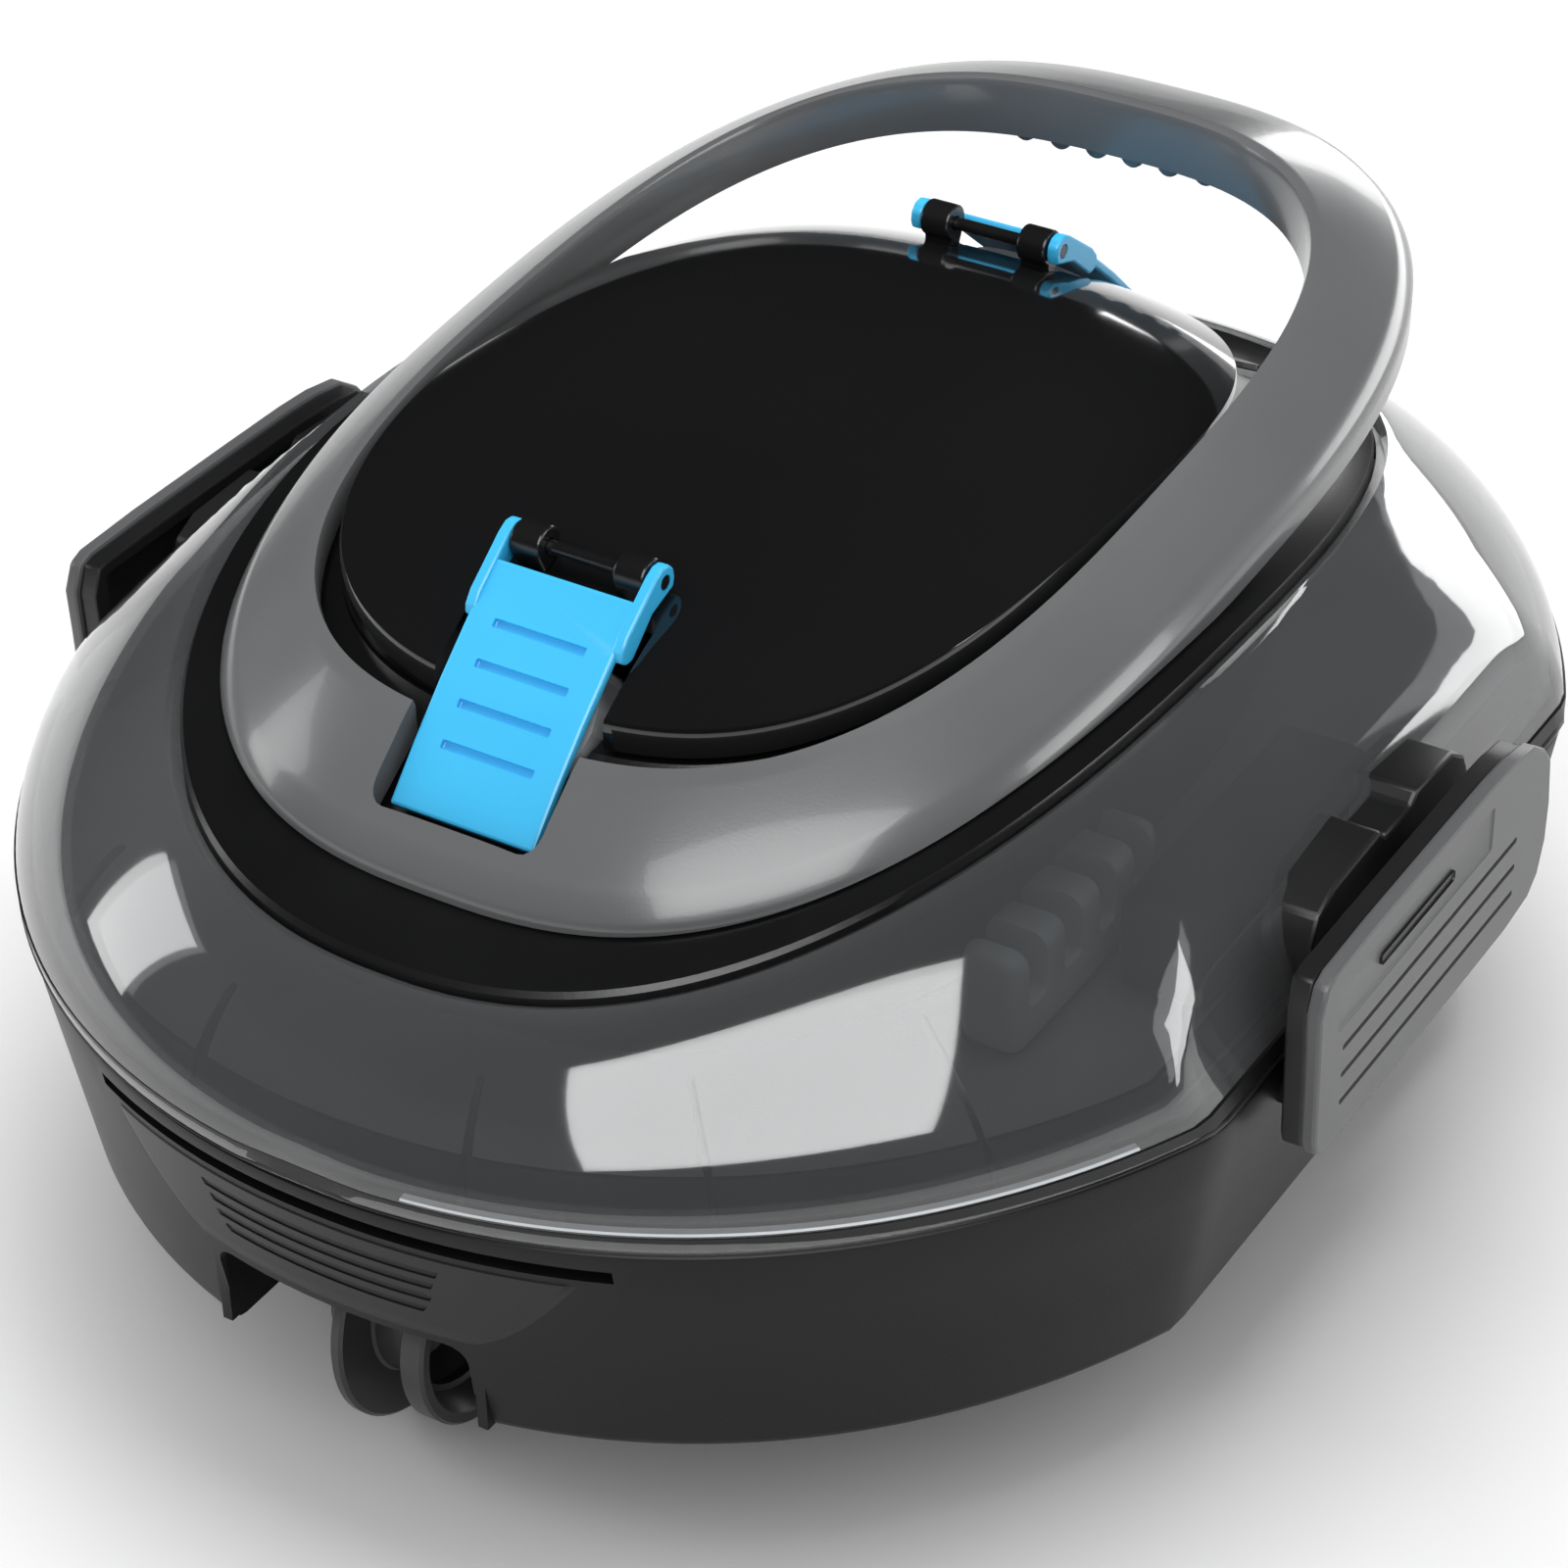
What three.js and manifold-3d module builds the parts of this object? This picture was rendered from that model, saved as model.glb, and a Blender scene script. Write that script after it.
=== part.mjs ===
// Cordless robotic pool cleaner: a lower tank on two wheels and two end rollers, and a lift-off upper
// unit with a clear cover, a fixed carrying handle and two inclined thrusters that blow out under flaps.
// Millimetres, +Z up. The origin is on the ground under the middle of the body. -Y is the front.
import * as THREE from "three";
import { mergeVertices } from "three/addons/utils/BufferGeometryUtils.js";
import Module from "manifold-3d";

const wasm = await Module();
wasm.setup();

// Driving dimensions
const CLEARANCE = 32; // ground to the lower edge of the base
const BASE_HEIGHT = 60;
const SEAM_Z = CLEARANCE + BASE_HEIGHT;
const GAP = 0.3; // between pieces that touch
const WALL = 3;
const OUTLINE_STEPS = 40;
const SEAM = { halfX: 167, halfY: 195, power: 2.07, flatX: 151.8 };
const BASE_TAPER = 9.8; // how much the base narrows towards its lower edge
const BEZEL = { halfX: 110.7, halfY: 164, power: 2.33 };
const DOME = { halfX: 81.6, halfY: 112.2, power: 2.72 };
const HANDLE_OUTER = { halfX: 105.4, halfY: 162.3, power: 2.66, centreY: 16.7 };
const HANDLE_INNER = { halfX: 84.2, halfY: 132.3, power: 2.85, centreY: 12.7 };
const DOME_TOP_Z = CLEARANCE + 155;
const LATCH = { faceX: 164, backX: 154.5, frontY: -64, rearY: 52, lowZ: 74, highZ: 122, wall: 2.7 };
const LATCH_PIN = { x: 158.4, z: 80.5, radius: 1.5, lugRadius: 2.6 };
const LUG_PLACES = [-50, 38]; // along Y
const WHEEL = { x: 95, width: 20, radius: 32, axleRadius: 4 };
const ROLLER = { y: -150, z: 31, hubRadius: 19.5, flangeRadius: 31, axleRadius: 3 };
const NOTCH = { halfX: 32.1, topZ: CLEARANCE + 24.3, roofZ: 65, rearY: -116.5, frontY: -183.5 };
const FLAP = { halfX: 18, topY: -92.2, topZ: CLEARANCE + 148.6, lowY: -133.6, lowZ: CLEARANCE + 111.1 };
const HOOK = { x: 12.9, width: 7.4, y: -84.5, pinZ: CLEARANCE + 149.9, pinRadius: 1.5, radius: 4.3 };
const DUCT = { length: 62, radius: 17.5, bore: 15.5, motorRadius: 9, motorStart: 26, motorLength: 34 };
const INLET = { halfX: 45, nearY: 58, farY: 82, pinY: 53, pinZ: CLEARANCE + 8 };
const SKIRT = 8;
const BUMPER = { halfX: 64, slotZ: CLEARANCE + 51, lowZ: CLEARANCE + 25.5, depth: 2.2 };
const PLATE = { halfX: 70, halfY: 104, power: 6 };
const SCREW = { x: 60, y: 92, radius: 1.6, headRadius: 3.4 };
const FILTER = { halfX: 122, halfY: 150, power: 2.3 };
const CONTROLS = { x: 40, y: 131, tilt: 0.5 };
const BUTTON = { radius: 7.5, sealRadius: 10, lensRadius: 12 };
const PORT = { radius: 8, bore: 3.5 };
const DOME_STEEPNESS = 3.2;
const PROPELLER = { hubRadius: 4, low: 7, high: 17, bladeRadius: 14.4, pitch: 0.65, shaftRadius: 1.3 };
const HOUSING = { halfX: 72, halfY: 47, topZ: 148, wall: 2.5 };

const cleaner = new THREE.Group();
cleaner.name = "pool_cleaner";

// Finishes
const COLOURS = {
  satin_black: [0x262729, 0.5, 0],
  gloss_black: [0x17181a, 0.12, 0],
  grey_shell: [0x737578, 0.35, 0],
  latch_grey: [0x5d5f62, 0.45, 0],
  sky_blue: [0x35bdf5, 0.35, 0],
  smoked_clear: [0x8b9094, 0.08, 0],
  frosted: [0xd5d8da, 0.4, 0],
  rubber: [0x1a1b1c, 0.85, 0],
  steel: [0xb9bcc0, 0.25, 1],
  board_green: [0x1d5a35, 0.6, 0],
  cell_wrap: [0x2b4c8c, 0.5, 0],
  mesh_grey: [0x9aa0a4, 0.7, 0],
};

function material(finish) {
  const [color, roughness, metalness] = COLOURS[finish];
  const made = new THREE.MeshStandardMaterial({ color, roughness, metalness });
  if (finish === "smoked_clear") {
    made.transparent = true;
    made.opacity = 0.4;
  }
  return made;
}

// Solids and meshes
function solid(geometry) {
  const bare = geometry.clone();
  bare.deleteAttribute("normal");
  bare.deleteAttribute("uv");
  const merged = mergeVertices(bare, 1e-4);
  const vertProperties = new Float32Array(merged.attributes.position.array);
  const triVerts = new Uint32Array(merged.index.array);
  return new wasm.Manifold(new wasm.Mesh({ numProp: 3, vertProperties, triVerts }));
}

function geometryOf(made) {
  const mesh = made.getMesh();
  const geometry = new THREE.BufferGeometry();
  geometry.setAttribute("position", new THREE.BufferAttribute(mesh.vertProperties, 3));
  geometry.setIndex(new THREE.BufferAttribute(mesh.triVerts, 1));
  return geometry;
}

function add(name, shape, finish) {
  const geometry = shape.isBufferGeometry ? shape : geometryOf(shape);
  const mesh = new THREE.Mesh(geometry, material(finish));
  mesh.name = name;
  cleaner.add(mesh);
  return mesh;
}

// The same piece at the other end of the body, turned half round
function addPair(names, shape, finish) {
  add(names[0], shape, finish);
  add(names[1], shape, finish).rotation.z = Math.PI;
}

function box(x0, x1, y0, y1, z0, z1) {
  const geometry = new THREE.BoxGeometry(x1 - x0, y1 - y0, z1 - z0);
  return geometry.translate((x0 + x1) / 2, (y0 + y1) / 2, (z0 + z1) / 2);
}

// A round bar along X
function barX(radius, x0, x1, y, z, sides = 12) {
  const geometry = new THREE.CylinderGeometry(radius, radius, x1 - x0, sides).rotateZ(Math.PI / 2);
  return geometry.translate((x0 + x1) / 2, y, z);
}

function barY(radius, y0, y1, x, z, sides = 12) {
  const geometry = new THREE.CylinderGeometry(radius, radius, y1 - y0, sides);
  return geometry.translate(x, (y0 + y1) / 2, z);
}

function barZ(radius, z0, z1, x, y, sides = 16) {
  const geometry = new THREE.CylinderGeometry(radius, radius, z1 - z0, sides).rotateX(Math.PI / 2);
  return geometry.translate(x, y, (z0 + z1) / 2);
}

// A turned piece about an axis along X, from [radius, x] pairs that close on themselves
function turnedX(pairs, y, z, sides = 32) {
  const profile = pairs.map(([radius, x]) => new THREE.Vector2(radius, x));
  profile.push(profile[0].clone());
  return new THREE.LatheGeometry(profile, sides).rotateZ(-Math.PI / 2).translate(0, y, z);
}

// A closed skin over a stack of loops with equal counts, each running anticlockwise seen from +Z.
// A wrapped stack joins its last loop to its first; an open one gets a flat cap at each end.
function skin(loops, wrap = false) {
  const count = loops[0].length;
  const positions = loops.flat().flatMap((p) => [p.x, p.y, p.z]);
  const index = [];
  const rows = wrap ? loops.length : loops.length - 1;
  for (let row = 0; row < rows; row++) {
    const next = (row + 1) % loops.length;
    for (let i = 0; i < count; i++) {
      const j = (i + 1) % count;
      const [a, b, c, d] = [row * count + i, row * count + j, next * count + j, next * count + i];
      index.push(a, b, c, a, c, d);
    }
  }
  if (!wrap) {
    for (const [loop, first, flip] of [[loops[0], 0, true], [loops.at(-1), rows * count, false]]) {
      const centre = new THREE.Vector3();
      loop.forEach((p) => centre.addScaledVector(p, 1 / count));
      const hub = positions.length / 3;
      positions.push(centre.x, centre.y, centre.z);
      for (let i = 0; i < count; i++) {
        const edge = [first + i, first + ((i + 1) % count)];
        index.push(hub, ...(flip ? edge.reverse() : edge));
      }
    }
  }
  const geometry = new THREE.BufferGeometry();
  geometry.setAttribute("position", new THREE.Float32BufferAttribute(positions, 3));
  geometry.setIndex(index);
  return geometry;
}

// Outlines
function outline(shape, inset, height, count = OUTLINE_STEPS) {
  const loop = [];
  for (let i = 0; i < count; i++) {
    const angle = (i / count) * 2 * Math.PI;
    const [c, s] = [Math.cos(angle), Math.sin(angle)];
    const x = Math.sign(c) * Math.abs(c) ** (2 / shape.power) * (shape.halfX - inset);
    const y = Math.sign(s) * Math.abs(s) ** (2 / shape.power) * (shape.halfY - inset);
    const limit = (shape.flatX ?? Infinity) - inset;
    const point = new THREE.Vector3(THREE.MathUtils.clamp(x, -limit, limit), y + (shape.centreY ?? 0), 0);
    point.z = typeof height === "function" ? height(point.x, point.y) : height;
    loop.push(point);
  }
  return loop;
}

const seamOutline = (inset, z) => outline(SEAM, inset, z);
const baseInset = (z) => BASE_TAPER * (1 - (z - CLEARANCE) / BASE_HEIGHT);
const bezelEdgeZ = (y) => CLEARANCE + 122.7 - 0.011 * y - 0.00102 * y * y;
const domeEdgeZ = (y) => CLEARANCE + 142.4 - 0.012 * y - 0.00102 * y * y;
const cubic = (a, b, c, d) => (y) => CLEARANCE + a + b * (y / 100) + c * (y / 100) ** 2 + d * (y / 100) ** 3;
const handleOuterZ = cubic(132.1, 10.39, -3.04, 1.38);
const handleInnerZ = cubic(145.2, 9.94, -1.97, 1.19);

// How far out a point lies, as a share of the outline in its direction
function share(shape, x, y) {
  const sum = Math.abs(x / shape.halfX) ** shape.power + Math.abs(y / shape.halfY) ** shape.power;
  return sum ** (1 / shape.power);
}

// Top of the bezel: low at its outer edge, curving up to the foot of the dome's skirt
function bezelZ(x, y) {
  const outer = share(BEZEL, x, y);
  const inner = share(DOME, x, y);
  const edge = bezelEdgeZ(y / outer);
  const foot = domeEdgeZ(y / inner) - SKIRT;
  const across = THREE.MathUtils.clamp((1 / outer - 1) / (1 / outer - 1 / inner), 0, 1);
  return edge + (foot - edge) * across ** 2;
}

// Base
const baseOuter = solid(skin([seamOutline(BASE_TAPER, CLEARANCE), seamOutline(0, SEAM_Z)]));
const tankFloor = CLEARANCE + WALL;
const tank = skin([
  seamOutline(baseInset(tankFloor) + WALL, tankFloor),
  seamOutline(WALL, SEAM_Z),
  seamOutline(WALL, SEAM_Z + 1),
]);
let base = baseOuter.subtract(solid(tank));
const pocketWall = 2.5;
const wheelWell = { inX: 82, outX: 110, halfY: 36, topZ: 67 };
for (const side of [-1, 1]) {
  const [x0, x1] = side > 0 ? [wheelWell.inX, wheelWell.outX] : [-wheelWell.outX, -wheelWell.inX];
  const y1 = wheelWell.halfY;
  const walls = box(
    x0 - pocketWall, x1 + pocketWall, -y1 - pocketWall, y1 + pocketWall,
    CLEARANCE, wheelWell.topZ + pocketWall,
  );
  base = base.add(solid(walls));
  base = base.subtract(solid(box(x0, x1, -y1, y1, CLEARANCE - 1, wheelWell.topZ)));
  const bore = barX(WHEEL.axleRadius + GAP, x0 - 8, x1 + 8, 0, WHEEL.radius, 16);
  base = base.subtract(solid(bore));
}
for (const turn of [0, Math.PI]) {
  const { halfX, topZ, roofZ, rearY, frontY } = NOTCH;
  const walls = box(
    -halfX - pocketWall, halfX + pocketWall, -190, rearY + pocketWall, CLEARANCE, roofZ + pocketWall,
  );
  base = base.add(solid(walls.rotateZ(turn)).intersect(baseOuter));
  base = base.subtract(solid(box(-halfX, halfX, frontY, rearY, CLEARANCE - 1, roofZ).rotateZ(turn)));
  base = base.subtract(solid(box(-halfX, halfX, -210, frontY + 1, CLEARANCE - 1, topZ).rotateZ(turn)));
  const axleBore = barX(ROLLER.axleRadius + GAP, -40, 40, ROLLER.y, ROLLER.z, 12).rotateZ(turn);
  base = base.subtract(solid(axleBore));
  const mouth = box(-INLET.halfX, INLET.halfX, -INLET.farY, -INLET.nearY, CLEARANCE - 1, tankFloor + 1);
  base = base.subtract(solid(mouth.rotateZ(turn)));
  for (const side of [-1, 1]) {
    const x = side * 52;
    const lug = box(x - 2, x + 2, -INLET.pinY - 4, -INLET.pinY + 4, tankFloor - 1, INLET.pinZ + 4);
    base = base.add(solid(lug.rotateZ(turn)));
  }
  base = base.subtract(solid(barX(1.8, -60, 60, -INLET.pinY, INLET.pinZ, 12).rotateZ(turn)));
}
// Shallow seat for each bumper
function bumperBlock(grow) {
  const { halfX, slotZ, lowZ } = BUMPER;
  const middleZ = (slotZ + lowZ) / 2;
  const halfZ = (slotZ - lowZ) / 2;
  const profile = new THREE.Shape();
  profile.moveTo(-halfX, halfZ);
  profile.quadraticCurveTo(0, halfZ + 2.4, halfX, halfZ);
  profile.quadraticCurveTo(58, 3 - halfZ, 34, -halfZ);
  profile.lineTo(-34, -halfZ);
  profile.quadraticCurveTo(-58, 3 - halfZ, -halfX, halfZ);
  const block = new THREE.ExtrudeGeometry(profile, { depth: 60, bevelEnabled: false, curveSegments: 4 });
  block.scale((halfX + grow) / halfX, (halfZ + grow) / halfZ, 1);
  return block.rotateX(Math.PI / 2).translate(0, -150, middleZ);
}
const bumperFace = skin([
  seamOutline(BASE_TAPER - 0.6, CLEARANCE),
  seamOutline(-0.6, SEAM_Z),
]);
const bumperBack = skin([
  seamOutline(BASE_TAPER + BUMPER.depth - GAP, CLEARANCE),
  seamOutline(BUMPER.depth - GAP, SEAM_Z),
]);
const seatBack = skin([
  seamOutline(BASE_TAPER + BUMPER.depth, CLEARANCE),
  seamOutline(BUMPER.depth, SEAM_Z),
]);
const seat = solid(bumperBlock(3 * GAP)).subtract(solid(seatBack));
base = base.subtract(solid(geometryOf(seat)));
base = base.subtract(solid(geometryOf(seat).rotateZ(Math.PI)));
// Latch hinge lugs
for (const side of [-1, 1]) {
  const hinge = side * LATCH_PIN.x;
  for (const y of LUG_PLACES) {
    const [x0, x1] = [Math.min(side * 144, hinge), Math.max(side * 144, hinge)];
    const { z, lugRadius } = LATCH_PIN;
    base = base.add(solid(box(x0, x1, y - 4, y + 4, z - lugRadius, z + lugRadius)));
    base = base.add(solid(barY(lugRadius, y - 4, y + 4, hinge, z, 24)));
    base = base.subtract(solid(barY(LATCH_PIN.radius + GAP, y - 5, y + 5, hinge, z, 12)));
  }
}
add("base_shell", base, "satin_black");

let bumper = solid(bumperBlock(0)).intersect(solid(bumperFace)).subtract(solid(bumperBack));
for (let i = 0; i < 4; i++) {
  const z = CLEARANCE + 45.2 - i * 3.7;
  bumper = bumper.subtract(solid(box(-28.6, 28.6, -200, -187.6 + i * 0.6, z - 0.7, z + 0.7)));
}
addPair(["front_bumper", "rear_bumper"], bumper, "satin_black");

const gasket = skin(
  [
    seamOutline(WALL + 0.9, SEAM_Z - 2.5),
    seamOutline(WALL + 0.9, SEAM_Z + 0.4),
    seamOutline(WALL + 3.6, SEAM_Z + 0.4),
    seamOutline(WALL + 3.6, SEAM_Z - 2.5),
  ],
  true,
);
add("base_gasket", gasket, "rubber");

let bottomPlate = solid(skin([outline(PLATE, 1, CLEARANCE - 3), outline(PLATE, 0, CLEARANCE - GAP)]));
for (const ySign of [-1, 1]) {
  const near = Math.min(ySign * INLET.nearY, ySign * INLET.farY);
  const far = Math.max(ySign * INLET.nearY, ySign * INLET.farY);
  const mouth = box(-INLET.halfX, INLET.halfX, near, far, CLEARANCE - 4, CLEARANCE + 1);
  bottomPlate = bottomPlate.subtract(solid(mouth));
}
const screwPlaces = [-1, 1].flatMap((xSign) => [-1, 1].map((ySign) => [xSign * SCREW.x, ySign * SCREW.y]));
for (const [x, y] of screwPlaces) {
  bottomPlate = bottomPlate.subtract(solid(barZ(SCREW.radius + GAP, 20, 40, x, y, 12)));
}
add("bottom_plate", bottomPlate, "satin_black");
screwPlaces.forEach(([x, y], i) => {
  const shank = solid(barZ(SCREW.radius, CLEARANCE - 4, CLEARANCE - GAP, x, y, 12));
  const head = solid(barZ(SCREW.headRadius, CLEARANCE - 5.3, CLEARANCE - 3 - GAP, x, y, 12));
  add(`plate_screw_${i + 1}`, shank.add(head), "steel");
});

// Inlet flaps stop the debris falling out; they lift into the tank as water is drawn in
const flapZ = tankFloor + GAP;
const inletPlate = box(
  -INLET.halfX - 2, INLET.halfX + 2, -INLET.farY - 2.5, -INLET.pinY + 1, flapZ, flapZ + 2,
);
const inletBarrel = barX(3.4, -49, 49, -INLET.pinY, INLET.pinZ, 14);
const inletFlap = solid(inletPlate)
  .add(solid(inletBarrel))
  .subtract(solid(barX(1.8, -60, 60, -INLET.pinY, INLET.pinZ, 12)));
addPair(["front_inlet_flap", "rear_inlet_flap"], inletFlap, "frosted");
const inletPin = barX(1.5, -54, 54, -INLET.pinY, INLET.pinZ, 12);
addPair(["front_inlet_pin", "rear_inlet_pin"], inletPin, "steel");

// Filter over the tank
const filterFrame = skin(
  [
    outline(FILTER, 0, 71),
    outline(FILTER, 0, 88),
    outline(FILTER, 4, 88),
    outline(FILTER, 4, 83.7),
    outline(FILTER, 9, 83.7),
    outline(FILTER, 9, 71),
  ],
  true,
);
add("filter_frame", filterFrame, "latch_grey");
add("filter_screen", skin([outline(FILTER, 4 + GAP, 84), outline(FILTER, 4 + GAP, 85.4)]), "mesh_grey");

// Wheels and rollers
const wheelHalf = WHEEL.width / 2;
const tyreInner = WHEEL.radius - 5;
[["right", 1], ["left", -1]].forEach(([name, side]) => {
  const x = side * WHEEL.x + (side > 0 ? 1 : -1);
  const hub = turnedX(
    [
      [WHEEL.axleRadius + GAP, x - wheelHalf],
      [10, x - wheelHalf],
      [10, x - wheelHalf + 4],
      [tyreInner - GAP, x - wheelHalf + 4],
      [tyreInner - GAP, x + wheelHalf - 4],
      [10, x + wheelHalf - 4],
      [10, x + wheelHalf],
      [WHEEL.axleRadius + GAP, x + wheelHalf],
    ],
    0, WHEEL.radius, 20,
  );
  add(`${name}_wheel`, hub, "satin_black");
  const tyre = turnedX(
    [
      [tyreInner, x - wheelHalf],
      [WHEEL.radius - 1.2, x - wheelHalf],
      [WHEEL.radius, x - wheelHalf + 2],
      [WHEEL.radius, x + wheelHalf - 2],
      [WHEEL.radius - 1.2, x + wheelHalf],
      [tyreInner, x + wheelHalf],
    ],
    0, WHEEL.radius, 28,
  );
  add(`${name}_tyre`, tyre, "rubber");
  const [x0, x1] = side > 0 ? [wheelWell.inX - 5, wheelWell.outX + 5] : [-wheelWell.outX - 5, -wheelWell.inX + 5];
  add(`${name}_axle`, barX(WHEEL.axleRadius, x0, x1, 0, WHEEL.radius, 12), "steel");
});
const rollerProfile = [
  [ROLLER.axleRadius + GAP, -17],
  [ROLLER.hubRadius, -17],
  [ROLLER.hubRadius, -8.5],
  [ROLLER.flangeRadius, -8.2],
  [ROLLER.flangeRadius, -5.6],
  [ROLLER.hubRadius, -5.3],
  [ROLLER.hubRadius, 12.5],
  [ROLLER.hubRadius - 2.4, 12.5],
  [ROLLER.hubRadius - 2.6, -3],
  [ROLLER.axleRadius + 3, -3],
  [ROLLER.axleRadius + 3, 12.5],
  [ROLLER.axleRadius + GAP, 12.5],
];
const roller = turnedX(rollerProfile, ROLLER.y, ROLLER.z, 24);
addPair(["front_roller", "rear_roller"], roller, "latch_grey");
addPair(["front_axle", "rear_axle"], barX(ROLLER.axleRadius, -38, 38, ROLLER.y, ROLLER.z, 12), "steel");

// Latches
function latchPlate(side, x0, x1, grow, slantRear) {
  const [y0, y1] = [LATCH.frontY - grow, LATCH.rearY + grow];
  const [z0, z1] = [LATCH.lowZ - grow, LATCH.highZ + grow];
  const round = 8;
  const profile = new THREE.Shape();
  profile.moveTo(y0, z0 + round);
  profile.quadraticCurveTo(y0, z0, y0 + round, z0);
  profile.lineTo(y1 - 2 * round, z0);
  profile.quadraticCurveTo(y1 - 2, z0 + 2, y1, z0 + 2 * round);
  profile.lineTo(y1 - 1, z1 - slantRear);
  profile.lineTo(y1 - slantRear, z1);
  profile.lineTo(y0 + 7, z1);
  profile.quadraticCurveTo(y0, z1 - 2, y0, z1 - 8);
  const flat = new THREE.ExtrudeGeometry(profile, { depth: x1 - x0, bevelEnabled: false, curveSegments: 3 });
  // The profile's plane turns from XY to YZ
  flat.applyMatrix4(new THREE.Matrix4().set(0, 0, 1, 0, 1, 0, 0, 0, 0, 1, 0, 0, 0, 0, 0, 1));
  return flat.translate(side > 0 ? x0 : -x1, 0, 0);
}
for (const [name, side] of [["right", 1], ["left", -1]]) {
  const innerFace = LATCH.faceX - LATCH.wall;
  let latch = solid(latchPlate(side, LATCH.backX, LATCH.faceX, 0, 10));
  latch = latch.subtract(solid(latchPlate(side, LATCH.backX - 1, innerFace, -3, 10)));
  const across = (near, far) => (side > 0 ? [near, far] : [-far, -near]);
  const { z: pinZ, radius: pinRadius } = LATCH_PIN;
  for (const lugY of LUG_PLACES) {
    const [b0, b1] = across(LATCH.backX + 0.6, innerFace + 0.5);
    for (const y of [lugY - 7.4, lugY + 7.4]) {
      latch = latch.add(solid(box(b0, b1, y - 3, y + 3, LATCH.lowZ + 2, pinZ + 3.4)));
    }
    const [c0, c1] = across(LATCH.backX - 2, innerFace);
    latch = latch.subtract(solid(box(c0, c1, lugY - 4.4, lugY + 4.4, LATCH.lowZ - 2, pinZ + 5)));
    const bore = barY(pinRadius + GAP, lugY - 11, lugY + 11, side * LATCH_PIN.x, pinZ, 16);
    latch = latch.subtract(solid(bore));
  }
  for (let i = 0; i < 3; i++) {
    const z = CLEARANCE + 66.5 - i * 7.2;
    const [g0, g1] = across(LATCH.faceX - 0.8, LATCH.faceX + 1);
    latch = latch.subtract(solid(box(g0, g1, -54, 34, z - 0.6, z + 0.6)));
  }
  add(`${name}_latch`, latch, "latch_grey");
  const [first, last] = [LUG_PLACES[0] - 10, LUG_PLACES[1] + 10];
  add(`${name}_latch_pin`, barY(pinRadius, first, last, side * LATCH_PIN.x, pinZ, 12), "steel");
}

// Clear cover: bulges out past the seam, closes in to the bezel, with two sloping planes at each side
function coverLoop(rise, inset) {
  const angle = (rise * Math.PI) / 2;
  const seam = seamOutline(inset, 0);
  const rim = outline(BEZEL, inset - 3.1, 0);
  const bulge = 4 * Math.sin(Math.PI * rise);
  return seam.map((from, i) => {
    const to = rim[i];
    const inward = Math.sin(angle) ** 2;
    const height = Math.sin(angle) ** 1.3;
    const x = from.x + (to.x - from.x) * inward;
    const y = from.y + (to.y - from.y) * inward;
    const out = new THREE.Vector2(x / SEAM.halfX ** 2, y / SEAM.halfY ** 2).normalize().multiplyScalar(bulge);
    const foot = SEAM_Z + 0.6;
    const z = foot + (bezelEdgeZ(to.y) - 0.4 - (inset > 1 ? 2.2 : 0) - foot) * height;
    const side = Math.min(
      SEAM.flatX - inset - 0.386 * (z - SEAM_Z),
      141 - inset - 0.83 * (z - CLEARANCE - 88),
    );
    const limit = Math.max(side, Math.abs(to.x));
    return new THREE.Vector3(THREE.MathUtils.clamp(x + out.x, -limit, limit), y + out.y, z);
  });
}
const coverRises = [0, 0.18, 0.36, 0.56, 0.78, 1];
const cover = skin(
  [
    ...coverRises.map((rise) => coverLoop(rise, 0)),
    ...coverRises.toReversed().map((rise) => coverLoop(rise, 2.6)),
  ],
  true,
);
add("clear_cover", cover, "smoked_clear");

// Deck that closes the upper unit from below, with an intake under each thruster
const deckZ = SEAM_Z + 1.6;
const intake = { y: 66, radius: 15 };
let deck = solid(skin([seamOutline(10, deckZ), seamOutline(10, deckZ + 2.6)]));
for (const y of [-intake.y, intake.y]) {
  deck = deck.subtract(solid(barZ(intake.radius, deckZ - 1, deckZ + 4, 0, y, 28)));
}
add("deck_plate", deck, "satin_black");

// Bezel: the black ring between the cover and the dome, with a skirt inside the cover's rim
const bezelThick = 2.6;
const bezelSkirt = 8;
const bezelPlain = outline(BEZEL, 0, 0);
const domePlain = outline(DOME, 0, 0);
const bezelAcross = (part, drop) =>
  bezelPlain.map((p, i) => {
    const at = p.clone().lerp(domePlain[i], part);
    at.z = bezelZ(at.x, at.y) - drop;
    return at;
  });
const domeFoot = (inset, drop) => outline(DOME, inset, (x, y) => domeEdgeZ(y) - SKIRT - drop);
const bezelBody = skin(
  [
    outline(BEZEL, 0, (x, y) => bezelEdgeZ(y) - bezelSkirt),
    outline(BEZEL, 0, (x, y) => bezelEdgeZ(y)),
    bezelAcross(0.4, 0),
    bezelAcross(0.75, 0),
    domeFoot(0, 0),
    domeFoot(7, 0),
    domeFoot(7, bezelThick),
    domeFoot(0, bezelThick),
    bezelAcross(0.75, bezelThick),
    bezelAcross(0.4, bezelThick),
    outline(BEZEL, 2.4, (x, y) => bezelEdgeZ(y) - bezelThick),
    outline(BEZEL, 2.4, (x, y) => bezelEdgeZ(y) - bezelSkirt),
  ],
  true,
);

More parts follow.
